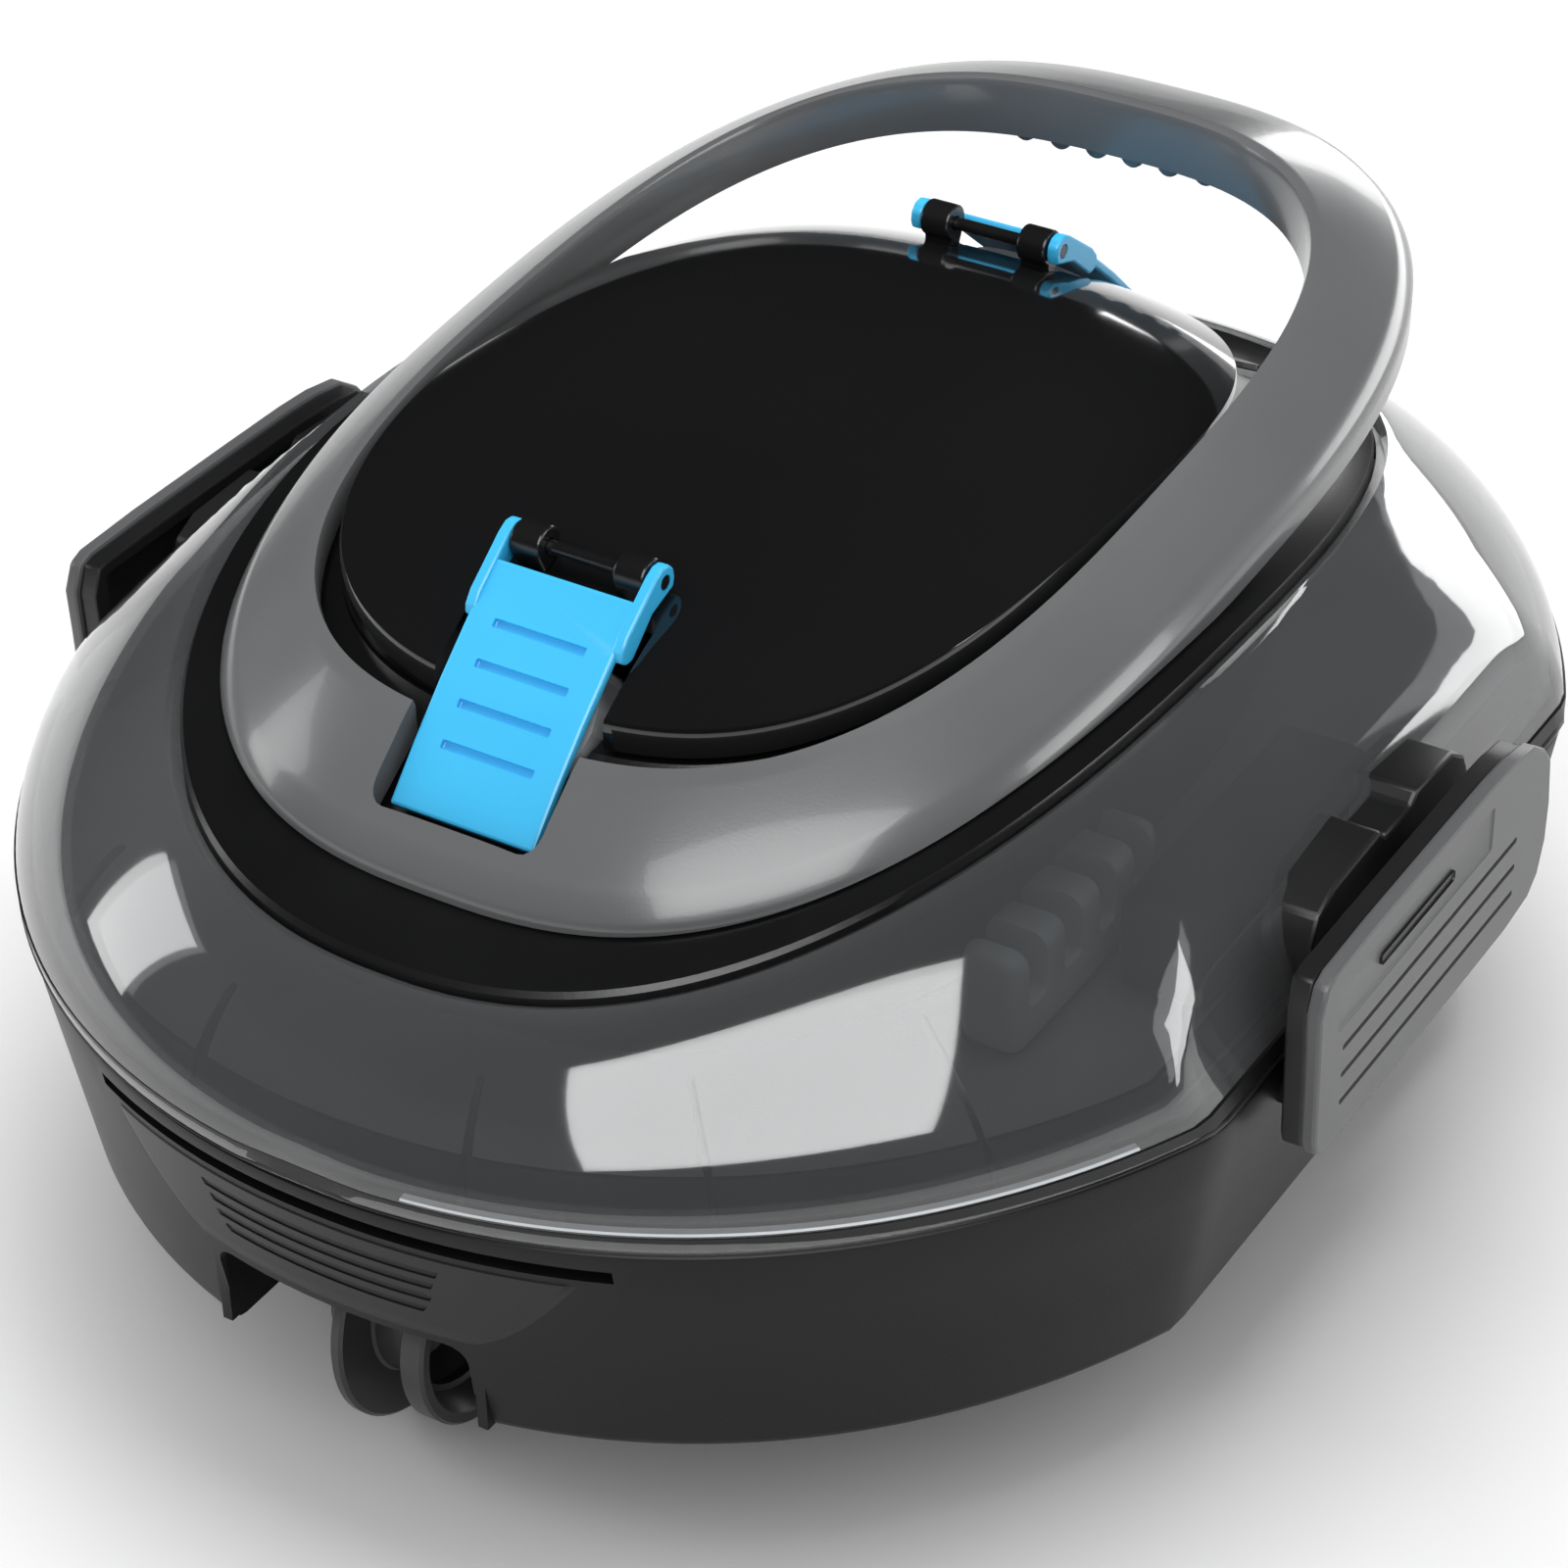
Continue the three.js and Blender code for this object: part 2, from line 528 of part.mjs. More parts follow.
// Thruster axis: it leaves the bezel square to the flap and runs down towards the middle
const flapSlope = Math.atan2(FLAP.topZ - FLAP.lowZ, FLAP.topY - FLAP.lowY);
const flapNormal = new THREE.Vector3(0, -Math.sin(flapSlope), Math.cos(flapSlope));
const flapThick = 2.4;
const mouth = new THREE.Vector3(0, (FLAP.topY + FLAP.lowY) / 2, (FLAP.topZ + FLAP.lowZ) / 2)
  .addScaledVector(flapNormal, -flapThick - 1.5);
const thrusterTurn = Math.PI + flapSlope;
const onThruster = (geometry) => geometry.rotateX(thrusterTurn).translate(0, mouth.y, mouth.z);

// A turned piece about Z from [radius, z] pairs that close on themselves
function turnedZ(pairs, sides = 32) {
  const profile = pairs.map(([radius, z]) => new THREE.Vector2(radius, z));
  profile.push(profile[0].clone());
  return new THREE.LatheGeometry(profile, sides).rotateX(Math.PI / 2);
}

// Where a control sits on the rear of the bezel: its axis is square to the surface there
const onBezel = (geometry, x) =>
  geometry.rotateX(-CONTROLS.tilt).translate(x, CONTROLS.y, bezelZ(CONTROLS.x, CONTROLS.y));

let bezel = solid(bezelBody);
for (const turn of [0, Math.PI]) {
  bezel = bezel.subtract(solid(onThruster(barZ(DUCT.radius + 0.8, -20, 40, 0, 0, 20)).rotateZ(turn)));
}
bezel = bezel.subtract(solid(onBezel(barZ(BUTTON.lensRadius + GAP, -12, 12, 0, 0, 20), CONTROLS.x)));
bezel = bezel.subtract(solid(onBezel(barZ(PORT.radius + GAP, -12, 12, 0, 0, 20), -CONTROLS.x)));
add("bezel_ring", bezel, "satin_black");

// Dome lid: a shell with a short skirt, notched at both ends for the flaps
const domeWall = 2.4;
function domeLoop(part, inset) {
  return domePlain.map((p) => {
    const at = p.clone().multiplyScalar(part * (1 - inset / DOME.halfX));
    const edge = domeEdgeZ(p.y);
    at.z = edge + (DOME_TOP_Z - edge) * (1 - part ** DOME_STEEPNESS) - inset;
    return at;
  });
}
const domeFootLoop = (inset) =>
  domeLoop(1, inset).map((p) => p.clone().setZ(p.z - SKIRT + 1.4 + inset));
const domeParts = [1, 0.9, 0.74, 0.5];
let dome = solid(
  skin([
    ...domeParts.toReversed().map((part) => domeLoop(part, domeWall)),
    domeFootLoop(domeWall),
    domeFootLoop(0),
    ...domeParts.map((part) => domeLoop(part, 0)),
  ]),
);
const flapNotchX = 21;
for (const turn of [0, Math.PI]) {
  const notch = box(-flapNotchX, flapNotchX, -130, HOOK.y - HOOK.radius, 100, 220);
  dome = dome.subtract(solid(notch.rotateZ(turn)));
  for (const side of [-1, 1]) {
    const slot = box(
      side * HOOK.x - HOOK.width / 2 - GAP, side * HOOK.x + HOOK.width / 2 + GAP,
      HOOK.y - 2.3, HOOK.y + 2.3, 100, 220,
    );
    dome = dome.subtract(solid(slot.rotateZ(turn)));
  }
}
add("dome_lid", dome, "gloss_black");

// Hooks, pins and flaps
for (const [place, side] of [["left", -1], ["right", 1]]) {
  const x = side * HOOK.x;
  const half = HOOK.width / 2;
  const curl = solid(barX(HOOK.radius, x - half, x + half, HOOK.y, HOOK.pinZ, 20));
  const foot = solid(box(x - half, x + half, HOOK.y - 2, HOOK.y + 2, CLEARANCE + 138, HOOK.pinZ));
  const bore = solid(barX(HOOK.pinRadius + GAP, x - 5, x + 5, HOOK.y, HOOK.pinZ, 12));
  const hook = curl.add(foot).subtract(bore);
  const rearPlace = place === "left" ? "right" : "left";
  addPair([`front_${place}_hook`, `rear_${rearPlace}_hook`], hook, "satin_black");
}
const pinHalf = 19.6;
addPair(
  ["front_flap_pin", "rear_flap_pin"],
  barX(HOOK.pinRadius, -pinHalf, pinHalf, HOOK.y, HOOK.pinZ, 16),
  "steel",
);
// A plate between two lines in the YZ plane, spread along X
function slabX(points, x0, x1) {
  const profile = new THREE.Shape(points.map(([y, z]) => new THREE.Vector2(y, z)));
  const flat = new THREE.ExtrudeGeometry(profile, { depth: x1 - x0, bevelEnabled: false });
  flat.applyMatrix4(new THREE.Matrix4().set(0, 0, 1, 0, 1, 0, 0, 0, 0, 1, 0, 0, 0, 0, 0, 1));
  return flat.translate(x0, 0, 0);
}
const [down, under] = [flapNormal.y * -flapThick, flapNormal.z * -flapThick];
const flapTopEdge = [FLAP.topY, FLAP.topZ];
const flapLowEdge = [FLAP.lowY, FLAP.lowZ];
const flapMiddle = [(FLAP.topY + FLAP.lowY) / 2 - 0.9, (FLAP.topZ + FLAP.lowZ) / 2 + 0.9];
const flapSection = [
  flapTopEdge,
  flapMiddle,
  flapLowEdge,
  [flapLowEdge[0] + down, flapLowEdge[1] + under],
  [flapMiddle[0] + down, flapMiddle[1] + under],
  [flapTopEdge[0] + down, flapTopEdge[1] + under],
];
let flap = solid(slabX(flapSection, -FLAP.halfX, FLAP.halfX));
const earInner = HOOK.x + HOOK.width / 2 + GAP;
for (const side of [-1, 1]) {
  const [x0, x1] = side > 0 ? [earInner, earInner + 2.8] : [-earInner - 2.8, -earInner];
  const ear = slabX(
    [
      [HOOK.y + 3, HOOK.pinZ - 2.4],
      [HOOK.y + 3.4, HOOK.pinZ + 1.6],
      [HOOK.y - 0.5, HOOK.pinZ + 3.8],
      [HOOK.y - 14.5, HOOK.pinZ - 5.6],
      [HOOK.y - 17, HOOK.pinZ - 10.5],
      [HOOK.y - 13, HOOK.pinZ - 12],
      [HOOK.y - 5, HOOK.pinZ - 5],
    ],
    x0, x1,
  );
  flap = flap.add(solid(ear));
}
flap = flap.subtract(solid(barX(HOOK.pinRadius + GAP, -30, 30, HOOK.y, HOOK.pinZ, 12)));
for (const [y, z] of [[-103.6, 139.4], [-111.3, 133.8], [-118.2, 128.3], [-124.2, 122.5]]) {
  const groove = new THREE.BoxGeometry(23, 1.4, 2.2).rotateX(flapSlope);
  flap = flap.subtract(solid(groove.translate(0, y, CLEARANCE + z)));
}
addPair(["front_flap", "rear_flap"], flap, "sky_blue");

// Thrusters
let duct = solid(
  turnedZ([[DUCT.bore, 0], [DUCT.radius, 0], [DUCT.radius, DUCT.length], [DUCT.bore, DUCT.length]], 24),
);
for (let i = 0; i < 3; i++) {
  const rib = box(DUCT.motorRadius + GAP, DUCT.bore + 1, -0.9, 0.9, 32, 52).rotateZ((i * 2 * Math.PI) / 3);
  duct = duct.add(solid(rib));
}
addPair(["front_duct", "rear_duct"], onThruster(geometryOf(duct)), "frosted");
const motorEnd = DUCT.motorStart + DUCT.motorLength;
addPair(
  ["front_motor", "rear_motor"],
  onThruster(barZ(DUCT.motorRadius, DUCT.motorStart, motorEnd, 0, 0, 20)),
  "steel",
);
let propeller = solid(barZ(PROPELLER.hubRadius, PROPELLER.low, PROPELLER.high, 0, 0, 20));
propeller = propeller.add(solid(barZ(PROPELLER.shaftRadius, PROPELLER.high - 1, DUCT.motorStart - GAP, 0, 0, 12)));
for (let i = 0; i < 3; i++) {
  const middle = (PROPELLER.hubRadius + PROPELLER.bladeRadius) / 2;
  const blade = new THREE.BoxGeometry(PROPELLER.bladeRadius - PROPELLER.hubRadius + 1.6, 9, 1.3);
  blade.rotateX(PROPELLER.pitch).translate(middle, 0, (PROPELLER.low + PROPELLER.high) / 2);
  propeller = propeller.add(solid(blade.rotateZ((i * 2 * Math.PI) / 3)));
}
const sweep = solid(barZ(PROPELLER.bladeRadius, PROPELLER.low - 2, DUCT.motorStart, 0, 0, 20));
propeller = propeller.intersect(sweep);
addPair(["front_propeller", "rear_propeller"], onThruster(geometryOf(propeller)), "latch_grey");

// Sealed housing between the thrusters, with the battery and the control board inside
const housingFloor = deckZ + 2.6 + GAP;
const { halfX: hx, halfY: hy, wall: hw } = HOUSING;
const housing = solid(box(-hx, hx, -hy, hy, housingFloor, HOUSING.topZ)).subtract(
  solid(box(-hx + hw, hx - hw, -hy + hw, hy - hw, housingFloor - 1, HOUSING.topZ - hw)),
);
add("motor_housing", housing, "satin_black");
add("battery_pack", box(-58, 58, -20, 20, housingFloor + GAP, housingFloor + 32), "cell_wrap");
add("control_board", box(-60, 60, -38, 38, housingFloor + 37, housingFloor + 38.6), "board_green");

// Controls on the rear of the bezel
const controlX = CONTROLS.x;
add("power_button", onBezel(barZ(BUTTON.radius, -3.2, 2.2, 0, 0, 20), controlX), "grey_shell");
const seal = turnedZ(
  [[BUTTON.radius + GAP, -3], [BUTTON.sealRadius - GAP, -3], [BUTTON.sealRadius - GAP, 1.1], [BUTTON.radius + GAP, 1.1]],
  24,
);
add("button_seal", onBezel(seal, controlX), "rubber");
const lens = turnedZ(
  [[BUTTON.sealRadius, -3], [BUTTON.lensRadius, -3], [BUTTON.lensRadius, 0.7], [BUTTON.sealRadius, 0.7]],
  28,
);
add("status_lens", onBezel(lens, controlX), "frosted");
const socket = solid(barZ(PORT.radius, -14, 0.5, 0, 0, 20)).subtract(solid(barZ(PORT.bore, -12, 2, 0, 0, 20)));
add("charge_port", onBezel(geometryOf(socket), -controlX), "latch_grey");
const cap = solid(barZ(PORT.radius + 1.4, 1.9, 4, 0, 0, 20)).add(solid(barZ(PORT.bore - GAP, -7, 2.5, 0, 0, 20)));
add("charge_plug", onBezel(geometryOf(cap), -controlX), "rubber");

// Carrying handle: a ring that lies on the bezel in front and arches clear of it at the rear
const handleDeep = (low, high, y) => {
  const part = THREE.MathUtils.clamp((y + 145) / 325, 0, 1);
  return low + (high - low) * part;
};
const restOnBezel = (x, y, top, deep) => Math.max(top - deep, bezelZ(x, y) + 0.9);
const handleLoop = (shape, inset, low) =>
  outline(shape, inset, (x, y) => {
    const outer = shape === HANDLE_OUTER;
    const top = outer ? handleOuterZ(y) : handleInnerZ(y);
    if (!low) return top;
    return restOnBezel(x, y, top, outer ? handleDeep(5, 12, y) : handleDeep(10, 15.5, y));
  });
let handle = solid(
  skin(
    [
      handleLoop(HANDLE_OUTER, 0, true),
      handleLoop(HANDLE_OUTER, 0, false),
      handleLoop(HANDLE_INNER, 0, false),
      handleLoop(HANDLE_INNER, 0, true),
    ],
    true,
  ),
);
const handleNotch = box(-20.8, 20.8, -137.6, -90, 100, 220);
handle = handle.subtract(solid(handleNotch));
add("handle", handle, "grey_shell");

export default cleaner;
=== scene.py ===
import math
import bpy
from mathutils import Matrix, Vector


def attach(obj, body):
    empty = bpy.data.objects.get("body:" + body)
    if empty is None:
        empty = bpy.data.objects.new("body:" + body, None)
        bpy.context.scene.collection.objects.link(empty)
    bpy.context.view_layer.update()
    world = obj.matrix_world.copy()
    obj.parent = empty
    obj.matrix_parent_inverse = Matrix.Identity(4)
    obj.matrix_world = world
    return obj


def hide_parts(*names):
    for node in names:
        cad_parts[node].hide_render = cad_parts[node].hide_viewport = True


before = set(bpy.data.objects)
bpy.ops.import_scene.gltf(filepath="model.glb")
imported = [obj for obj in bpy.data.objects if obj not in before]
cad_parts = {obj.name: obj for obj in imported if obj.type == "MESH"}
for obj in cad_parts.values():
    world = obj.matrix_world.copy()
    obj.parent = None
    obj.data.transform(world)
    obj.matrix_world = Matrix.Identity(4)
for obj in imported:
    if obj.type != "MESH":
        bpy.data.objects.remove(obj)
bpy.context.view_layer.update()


# Stage: a white sheet of paper under an even white sky. One soft box overhead lights the cleaner,
# and four more round it are there for the long reflections on its cover, lid and handle.
# The camera stands in front and to the right, well above the seam.
def shader(name, roughness=0.4):
    made = bpy.data.materials.new(name)
    made.use_nodes = True
    bsdf = made.node_tree.nodes["Principled BSDF"]
    bsdf.inputs["Roughness"].default_value = roughness
    return made, made.node_tree, bsdf


PAPER_WIDTH = 7
PAPER_DARK, PAPER_LIGHT = 0.90, 0.93
bpy.ops.object.select_all(action="DESELECT")
bpy.ops.mesh.primitive_plane_add(size=PAPER_WIDTH, location=(0, 0, 0))
paper_floor = bpy.context.object
paper_floor.name = "paper_floor"
paper, tree, bsdf = shader("white_paper", 0.75)
grain = tree.nodes.new("ShaderNodeTexNoise")
grain.inputs["Scale"].default_value = 60
ramp = tree.nodes.new("ShaderNodeValToRGB")
ramp.color_ramp.elements[0].color = (PAPER_DARK, PAPER_DARK, PAPER_DARK, 1)
ramp.color_ramp.elements[1].color = (PAPER_LIGHT, PAPER_LIGHT, PAPER_LIGHT, 1)
tree.links.new(grain.outputs["Fac"], ramp.inputs["Fac"])
tree.links.new(ramp.outputs["Color"], bsdf.inputs["Base Color"])
bsdf.inputs["Specular IOR Level"].default_value = 0.1
paper_floor.data.materials.append(paper)

CAMERA_PLACE = (0.4519, -0.7180, 0.6558)
CAMERA_TURN, CAMERA_HEIGHT, CAMERA_ROLL = 32.555, 34.383, -1.183
CAMERA_LENS, CAMERA_SENSOR = 100.69, 36
bpy.ops.object.camera_add()
camera = bpy.context.object
azimuth, elevation, roll = (math.radians(a) for a in (CAMERA_TURN, CAMERA_HEIGHT, CAMERA_ROLL))
back = Vector((
    math.sin(azimuth) * math.cos(elevation),
    -math.cos(azimuth) * math.cos(elevation),
    math.sin(elevation),
))
level = Vector((math.cos(azimuth), math.sin(azimuth), 0))
upward = back.cross(level)
right = math.cos(roll) * level + math.sin(roll) * upward
up = math.cos(roll) * upward - math.sin(roll) * level
facing = Matrix((right, up, back)).transposed().to_4x4()
camera.matrix_world = Matrix.Translation(CAMERA_PLACE) @ facing
camera.data.lens = CAMERA_LENS
camera.data.sensor_width = CAMERA_SENSOR
bpy.context.scene.camera = camera

SKY_STRENGTH = 0.7
world = bpy.data.worlds.new("studio")
bpy.context.scene.world = world
world.use_nodes = True
world.node_tree.nodes["Background"].inputs["Color"].default_value = (1, 1, 1, 1)
world.node_tree.nodes["Background"].inputs["Strength"].default_value = SKY_STRENGTH
world.cycles_visibility.glossy = False
bpy.context.scene.view_settings.view_transform = "Standard"
# Each soft box: name, place, aim, width, height, watts, seen in gloss, seen in matt surfaces.
for name, place, aim, size, size_y, watts, in_gloss, in_diffuse in [
    ("top_softbox", (0.0, 0.3, 1.9), (0, 0, 0.1), 1.5, 1.1, 21, False, True),
    ("front_softbox", (1.05, -1.4, 1.85), (0.05, -0.1, 0.1), 2.3, 1.75, 80, True, False),
    ("rear_softbox", (0.5, 2.3, 0.32), (0.05, 0, 0.12), 2.6, 0.55, 22, True, False),
    ("right_softbox", (2.0, 0.9, 0.55), (0.1, 0, 0.1), 0.9, 0.8, 12, True, False),
    ("left_softbox", (-1.9, -0.7, 0.8), (0, 0, 0.1), 0.5, 1.1, 7, True, True),
]:
    bpy.ops.object.light_add(type="AREA", location=place)
    lamp = bpy.context.object
    lamp.name = name
    lamp.data.shape = "RECTANGLE"
    lamp.data.size = size
    lamp.data.size_y = size_y
    lamp.data.energy = watts
    lamp.visible_glossy = in_gloss
    lamp.visible_diffuse = in_diffuse
    lamp.rotation_euler = (Vector(aim) - Vector(place)).to_track_quat("-Z", "Y").to_euler()


# Base: one black moulding of the lower tank, tapering to its foot, with a pocket for a roller at
# each end, a well for each drive wheel and two lugs at each side for a latch pin.
# Injection-moulded ABS with a fine satin texture. Sizes are in millimetres.
MM = 0.001


def plastic(
    name, dark, light, roughness,
    coat=0.0, grain_size=900, bump=0.06, mottle=14, specular=0.5,
):
    """Moulded plastic: a slow drift of colour and gloss, under a fine spark texture."""
    made, tree, bsdf = shader(name, roughness)
    bsdf.inputs["Specular IOR Level"].default_value = specular
    where = tree.nodes.new("ShaderNodeTexCoord").outputs["Object"]
    drift = tree.nodes.new("ShaderNodeTexNoise")
    drift.inputs["Scale"].default_value = mottle
    drift.inputs["Detail"].default_value = 3
    tree.links.new(where, drift.inputs["Vector"])
    ramp = tree.nodes.new("ShaderNodeValToRGB")
    ramp.color_ramp.elements[0].position = 0.3
    ramp.color_ramp.elements[0].color = (*dark, 1)
    ramp.color_ramp.elements[1].position = 0.7
    ramp.color_ramp.elements[1].color = (*light, 1)
    tree.links.new(drift.outputs["Fac"], ramp.inputs["Fac"])
    tree.links.new(ramp.outputs["Color"], bsdf.inputs["Base Color"])
    fine = tree.nodes.new("ShaderNodeTexNoise")
    fine.inputs["Scale"].default_value = grain_size
    fine.inputs["Detail"].default_value = 2
    tree.links.new(where, fine.inputs["Vector"])
    rough = tree.nodes.new("ShaderNodeMapRange")
    rough.inputs["To Min"].default_value = max(0.02, roughness - 0.05)
    rough.inputs["To Max"].default_value = roughness + 0.06
    tree.links.new(drift.outputs["Fac"], rough.inputs["Value"])
    tree.links.new(rough.outputs["Result"], bsdf.inputs["Roughness"])
    relief = tree.nodes.new("ShaderNodeBump")
    relief.inputs["Strength"].default_value = bump
    relief.inputs["Distance"].default_value = 0.0004
    tree.links.new(fine.outputs["Fac"], relief.inputs["Height"])
    tree.links.new(relief.outputs["Normal"], bsdf.inputs["Normal"])
    bsdf.inputs["Coat Weight"].default_value = coat
    bsdf.inputs["Coat Roughness"].default_value = 0.06
    return made


def dress(node, material):
    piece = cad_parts[node]
    piece.data.materials.clear()
    piece.data.materials.append(material)


def superellipse(half_x, half_y, power, turn, centre_y=0.0, flat_x=None):
    """A point of a squared-off oval at a share of a turn; flat_x cuts its sides straight."""
    c, s = math.cos(2 * math.pi * turn), math.sin(2 * math.pi * turn)
    x = math.copysign(abs(c) ** (2 / power), c) * half_x
    y = math.copysign(abs(s) ** (2 / power), s) * half_y
    if flat_x is not None:
        x = max(-flat_x, min(flat_x, x))
    return x, y + centre_y


def lone(piece):
    """Select one piece, with nothing else, as the active one."""
    bpy.ops.object.select_all(action="DESELECT")
    piece.select_set(True)
    bpy.context.view_layer.objects.active = piece


SMOOTH_UNDER = math.radians(30)
MERGE_WITHIN = 2e-5


def clean_up(piece):
    """Merge the doubles, turn the faces outwards and smooth all but the sharp edges."""
    lone(piece)
    bpy.ops.object.mode_set(mode="EDIT")
    bpy.ops.mesh.select_all(action="SELECT")
    bpy.ops.mesh.remove_doubles(threshold=MERGE_WITHIN)
    bpy.ops.mesh.normals_make_consistent(inside=False)
    bpy.ops.object.mode_set(mode="OBJECT")
    bpy.ops.object.shade_smooth_by_angle(angle=SMOOTH_UNDER)


def ring_of(name, around, corners, place, material):
    """A closed band: place(turn, corner) gives each corner of the wall's section in mm."""
    bpy.ops.object.select_all(action="DESELECT")
    bpy.ops.mesh.primitive_grid_add(x_subdivisions=around, y_subdivisions=corners, size=1)
    piece = bpy.context.object
    piece.name = piece.data.name = name
    for vertex in piece.data.vertices:
        turn = round((vertex.co.x + 0.5) * around) % around / around
        corner = round((vertex.co.y + 0.5) * corners) % corners
        vertex.co = [MM * v for v in place(turn, corner)]
    piece.data.materials.append(material)
    clean_up(piece)
    return piece


def block(x0, x1, y0, y1, z0, z1, round_edges=0.0, along=None):
    """A box in mm; the edges along one axis may be rounded."""
    bpy.ops.object.select_all(action="DESELECT")
    bpy.ops.mesh.primitive_cube_add(size=1)
    piece = bpy.context.object
    for vertex in piece.data.vertices:
        vertex.co = [
            MM * (low if share < 0 else high)
            for share, low, high in zip(vertex.co, (x0, y0, z0), (x1, y1, z1))
        ]
    if round_edges:
        bpy.ops.object.mode_set(mode="EDIT")
        bpy.ops.mesh.select_mode(type="EDGE")
        bpy.ops.object.mode_set(mode="OBJECT")
        for edge in piece.data.edges:
            a, b = (piece.data.vertices[i].co for i in edge.vertices)
            edge.select = along is None or abs((b - a).normalized()[along]) > 0.9
        bpy.ops.object.mode_set(mode="EDIT")
        bpy.ops.mesh.bevel(offset=round_edges * MM, segments=4, affect="EDGES")
        bpy.ops.object.mode_set(mode="OBJECT")
    return piece


def rod(radius, start, end, axis, across, sides=48):
    """A round bar in mm along axis 0, 1 or 2; across gives its place on the other two axes."""
    bpy.ops.object.select_all(action="DESELECT")
    bpy.ops.mesh.primitive_cylinder_add(
        radius=radius * MM, depth=(end - start) * MM, vertices=sides,
    )
    piece = bpy.context.object
    for vertex in piece.data.vertices:
        x, y, z = vertex.co / MM
        z += (start + end) / 2
        if axis == 0:
            vertex.co = Vector((z, x + across[0], y + across[1])) * MM
        elif axis == 1:
            vertex.co = Vector((y + across[0], z, x + across[1])) * MM
        else:
            vertex.co = Vector((x + across[0], y + across[1], z)) * MM
    return piece


def join_solid(piece, tool, operation="DIFFERENCE"):
    """Cut a tool out of a piece, or add it on, and throw the tool away."""
    lone(piece)
    change = piece.modifiers.new("change", "BOOLEAN")
    change.operation = operation
    change.solver = "EXACT"
    change.object = tool
    bpy.ops.object.modifier_apply(modifier="change")
    bpy.data.objects.remove(tool)


def turned_copy(piece, name):
    """The same piece at the other end, turned half round, with its own mesh."""
    lone(piece)
    bpy.ops.object.duplicate()
    copy = bpy.context.object
    copy.name = copy.data.name = name
    for vertex in copy.data.vertices:
        vertex.co.x, vertex.co.y = -vertex.co.x, -vertex.co.y
    copy.data.update()
    return copy


BEVEL_OVER = math.radians(35)


def bevelled(piece, width, segments=2):
    """Ease the sharp edges by a width in mm."""
    lone(piece)
    edge = piece.modifiers.new("edge", "BEVEL")
    edge.width = width * MM
    edge.segments = segments
    edge.limit_method = "ANGLE"
    edge.angle_limit = BEVEL_OVER
    bpy.ops.object.modifier_apply(modifier="edge")
    bpy.ops.object.shade_smooth_by_angle(angle=SMOOTH_UNDER)


satin_black = plastic(
    "satin_black_plastic", (0.0045, 0.0046, 0.005), (0.0075, 0.0077, 0.0082), 0.38,
    grain_size=1400, bump=0.1, specular=0.22,
)
SEAM = (167.0, 195.0, 2.07)
SIDE_FLAT = 151.8
SEAM_HEIGHT = 92
FOOT, FOOT_DRAFT, WALL_RISE = 32, 9.8, 60
ROLLER_Y, ROLLER_Z = 150, 31
LATCH_PIN_X, LATCH_PIN_Z, LATCH_LUGS_Y = 158.4, 80.5, (-50, 38)
# Each corner of the wall's section: inset from the tapering face (None is the middle), height.
base_corners = [
    (None, 32), (12, 32), (3.2, 32), (1.2, 32.5), (0.3, 33.6), (0, 35), (0, 55), (0, 75),
    (0, 90.4), (0.25, 91.4), (0.8, 91.9), (3, 92), (3, 60), (3, 35), (None, 35),
]


def taper(z):
    """How far the tank's outer face lies inside the seam at a height."""
    return FOOT_DRAFT * (1 - (z - FOOT) / WALL_RISE)


def base_corner(turn, corner):
    inset, z = base_corners[corner % len(base_corners)]
    if inset is None:
        return 0, 0, z
    inset += taper(z)
    x, y = superellipse(SEAM[0] - inset, SEAM[1] - inset, SEAM[2], turn, flat_x=SIDE_FLAT - inset)
    return x, y, z


base = ring_of("base_moulding", 192, len(base_corners), base_corner, satin_black)
for side in (-1, 1):
    wheel_in, wheel_out = sorted((side * 82, side * 110))
    join_solid(base, block(wheel_in - 2.5, wheel_out + 2.5, -38.5, 38.5, 33, 69.5), "UNION")
    join_solid(base, block(wheel_in, wheel_out, -36, 36, 31, 67))
    join_solid(base, rod(4.3, wheel_in - 8, wheel_out + 8, 0, (0, 32), 32))
POCKET_HALF, POCKET_WALL = 32.1, 2.5
for end in (-1, 1):
    y0, y1 = sorted((end * 183.4, end * 114))
    outside = POCKET_HALF + POCKET_WALL
    join_solid(base, block(-outside, outside, y0, y1, 33, 67.5), "UNION")
    y0, y1 = sorted((end * 183.5, end * 116.5))
    join_solid(base, block(-POCKET_HALF, POCKET_HALF, y0, y1, 28, 65))
    y0, y1 = sorted((end * 210, end * 180))
    join_solid(base, block(-POCKET_HALF, POCKET_HALF, y0, y1, 20, 56.3, 5, along=1))
    join_solid(base, rod(3.3, -40, 40, 0, (end * ROLLER_Y, ROLLER_Z), 32))
    y0, y1 = sorted((end * 58, end * 82))
    join_solid(base, block(-45, 45, y0, y1, 28, 38))
for side in (-1, 1):
    pin = (side * LATCH_PIN_X, LATCH_PIN_Z)
    for y in LATCH_LUGS_Y:
        x0, x1 = sorted((side * 144, side * LATCH_PIN_X))
        join_solid(base, block(x0, x1, y - 4, y + 4, 77.9, 83.1), "UNION")
        join_solid(base, rod(2.6, y - 4, y + 4, 1, pin, 32), "UNION")
        join_solid(base, rod(1.8, y - 5, y + 5, 1, pin, 32))
clean_up(base)
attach(base, "base")
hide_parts("base_shell")


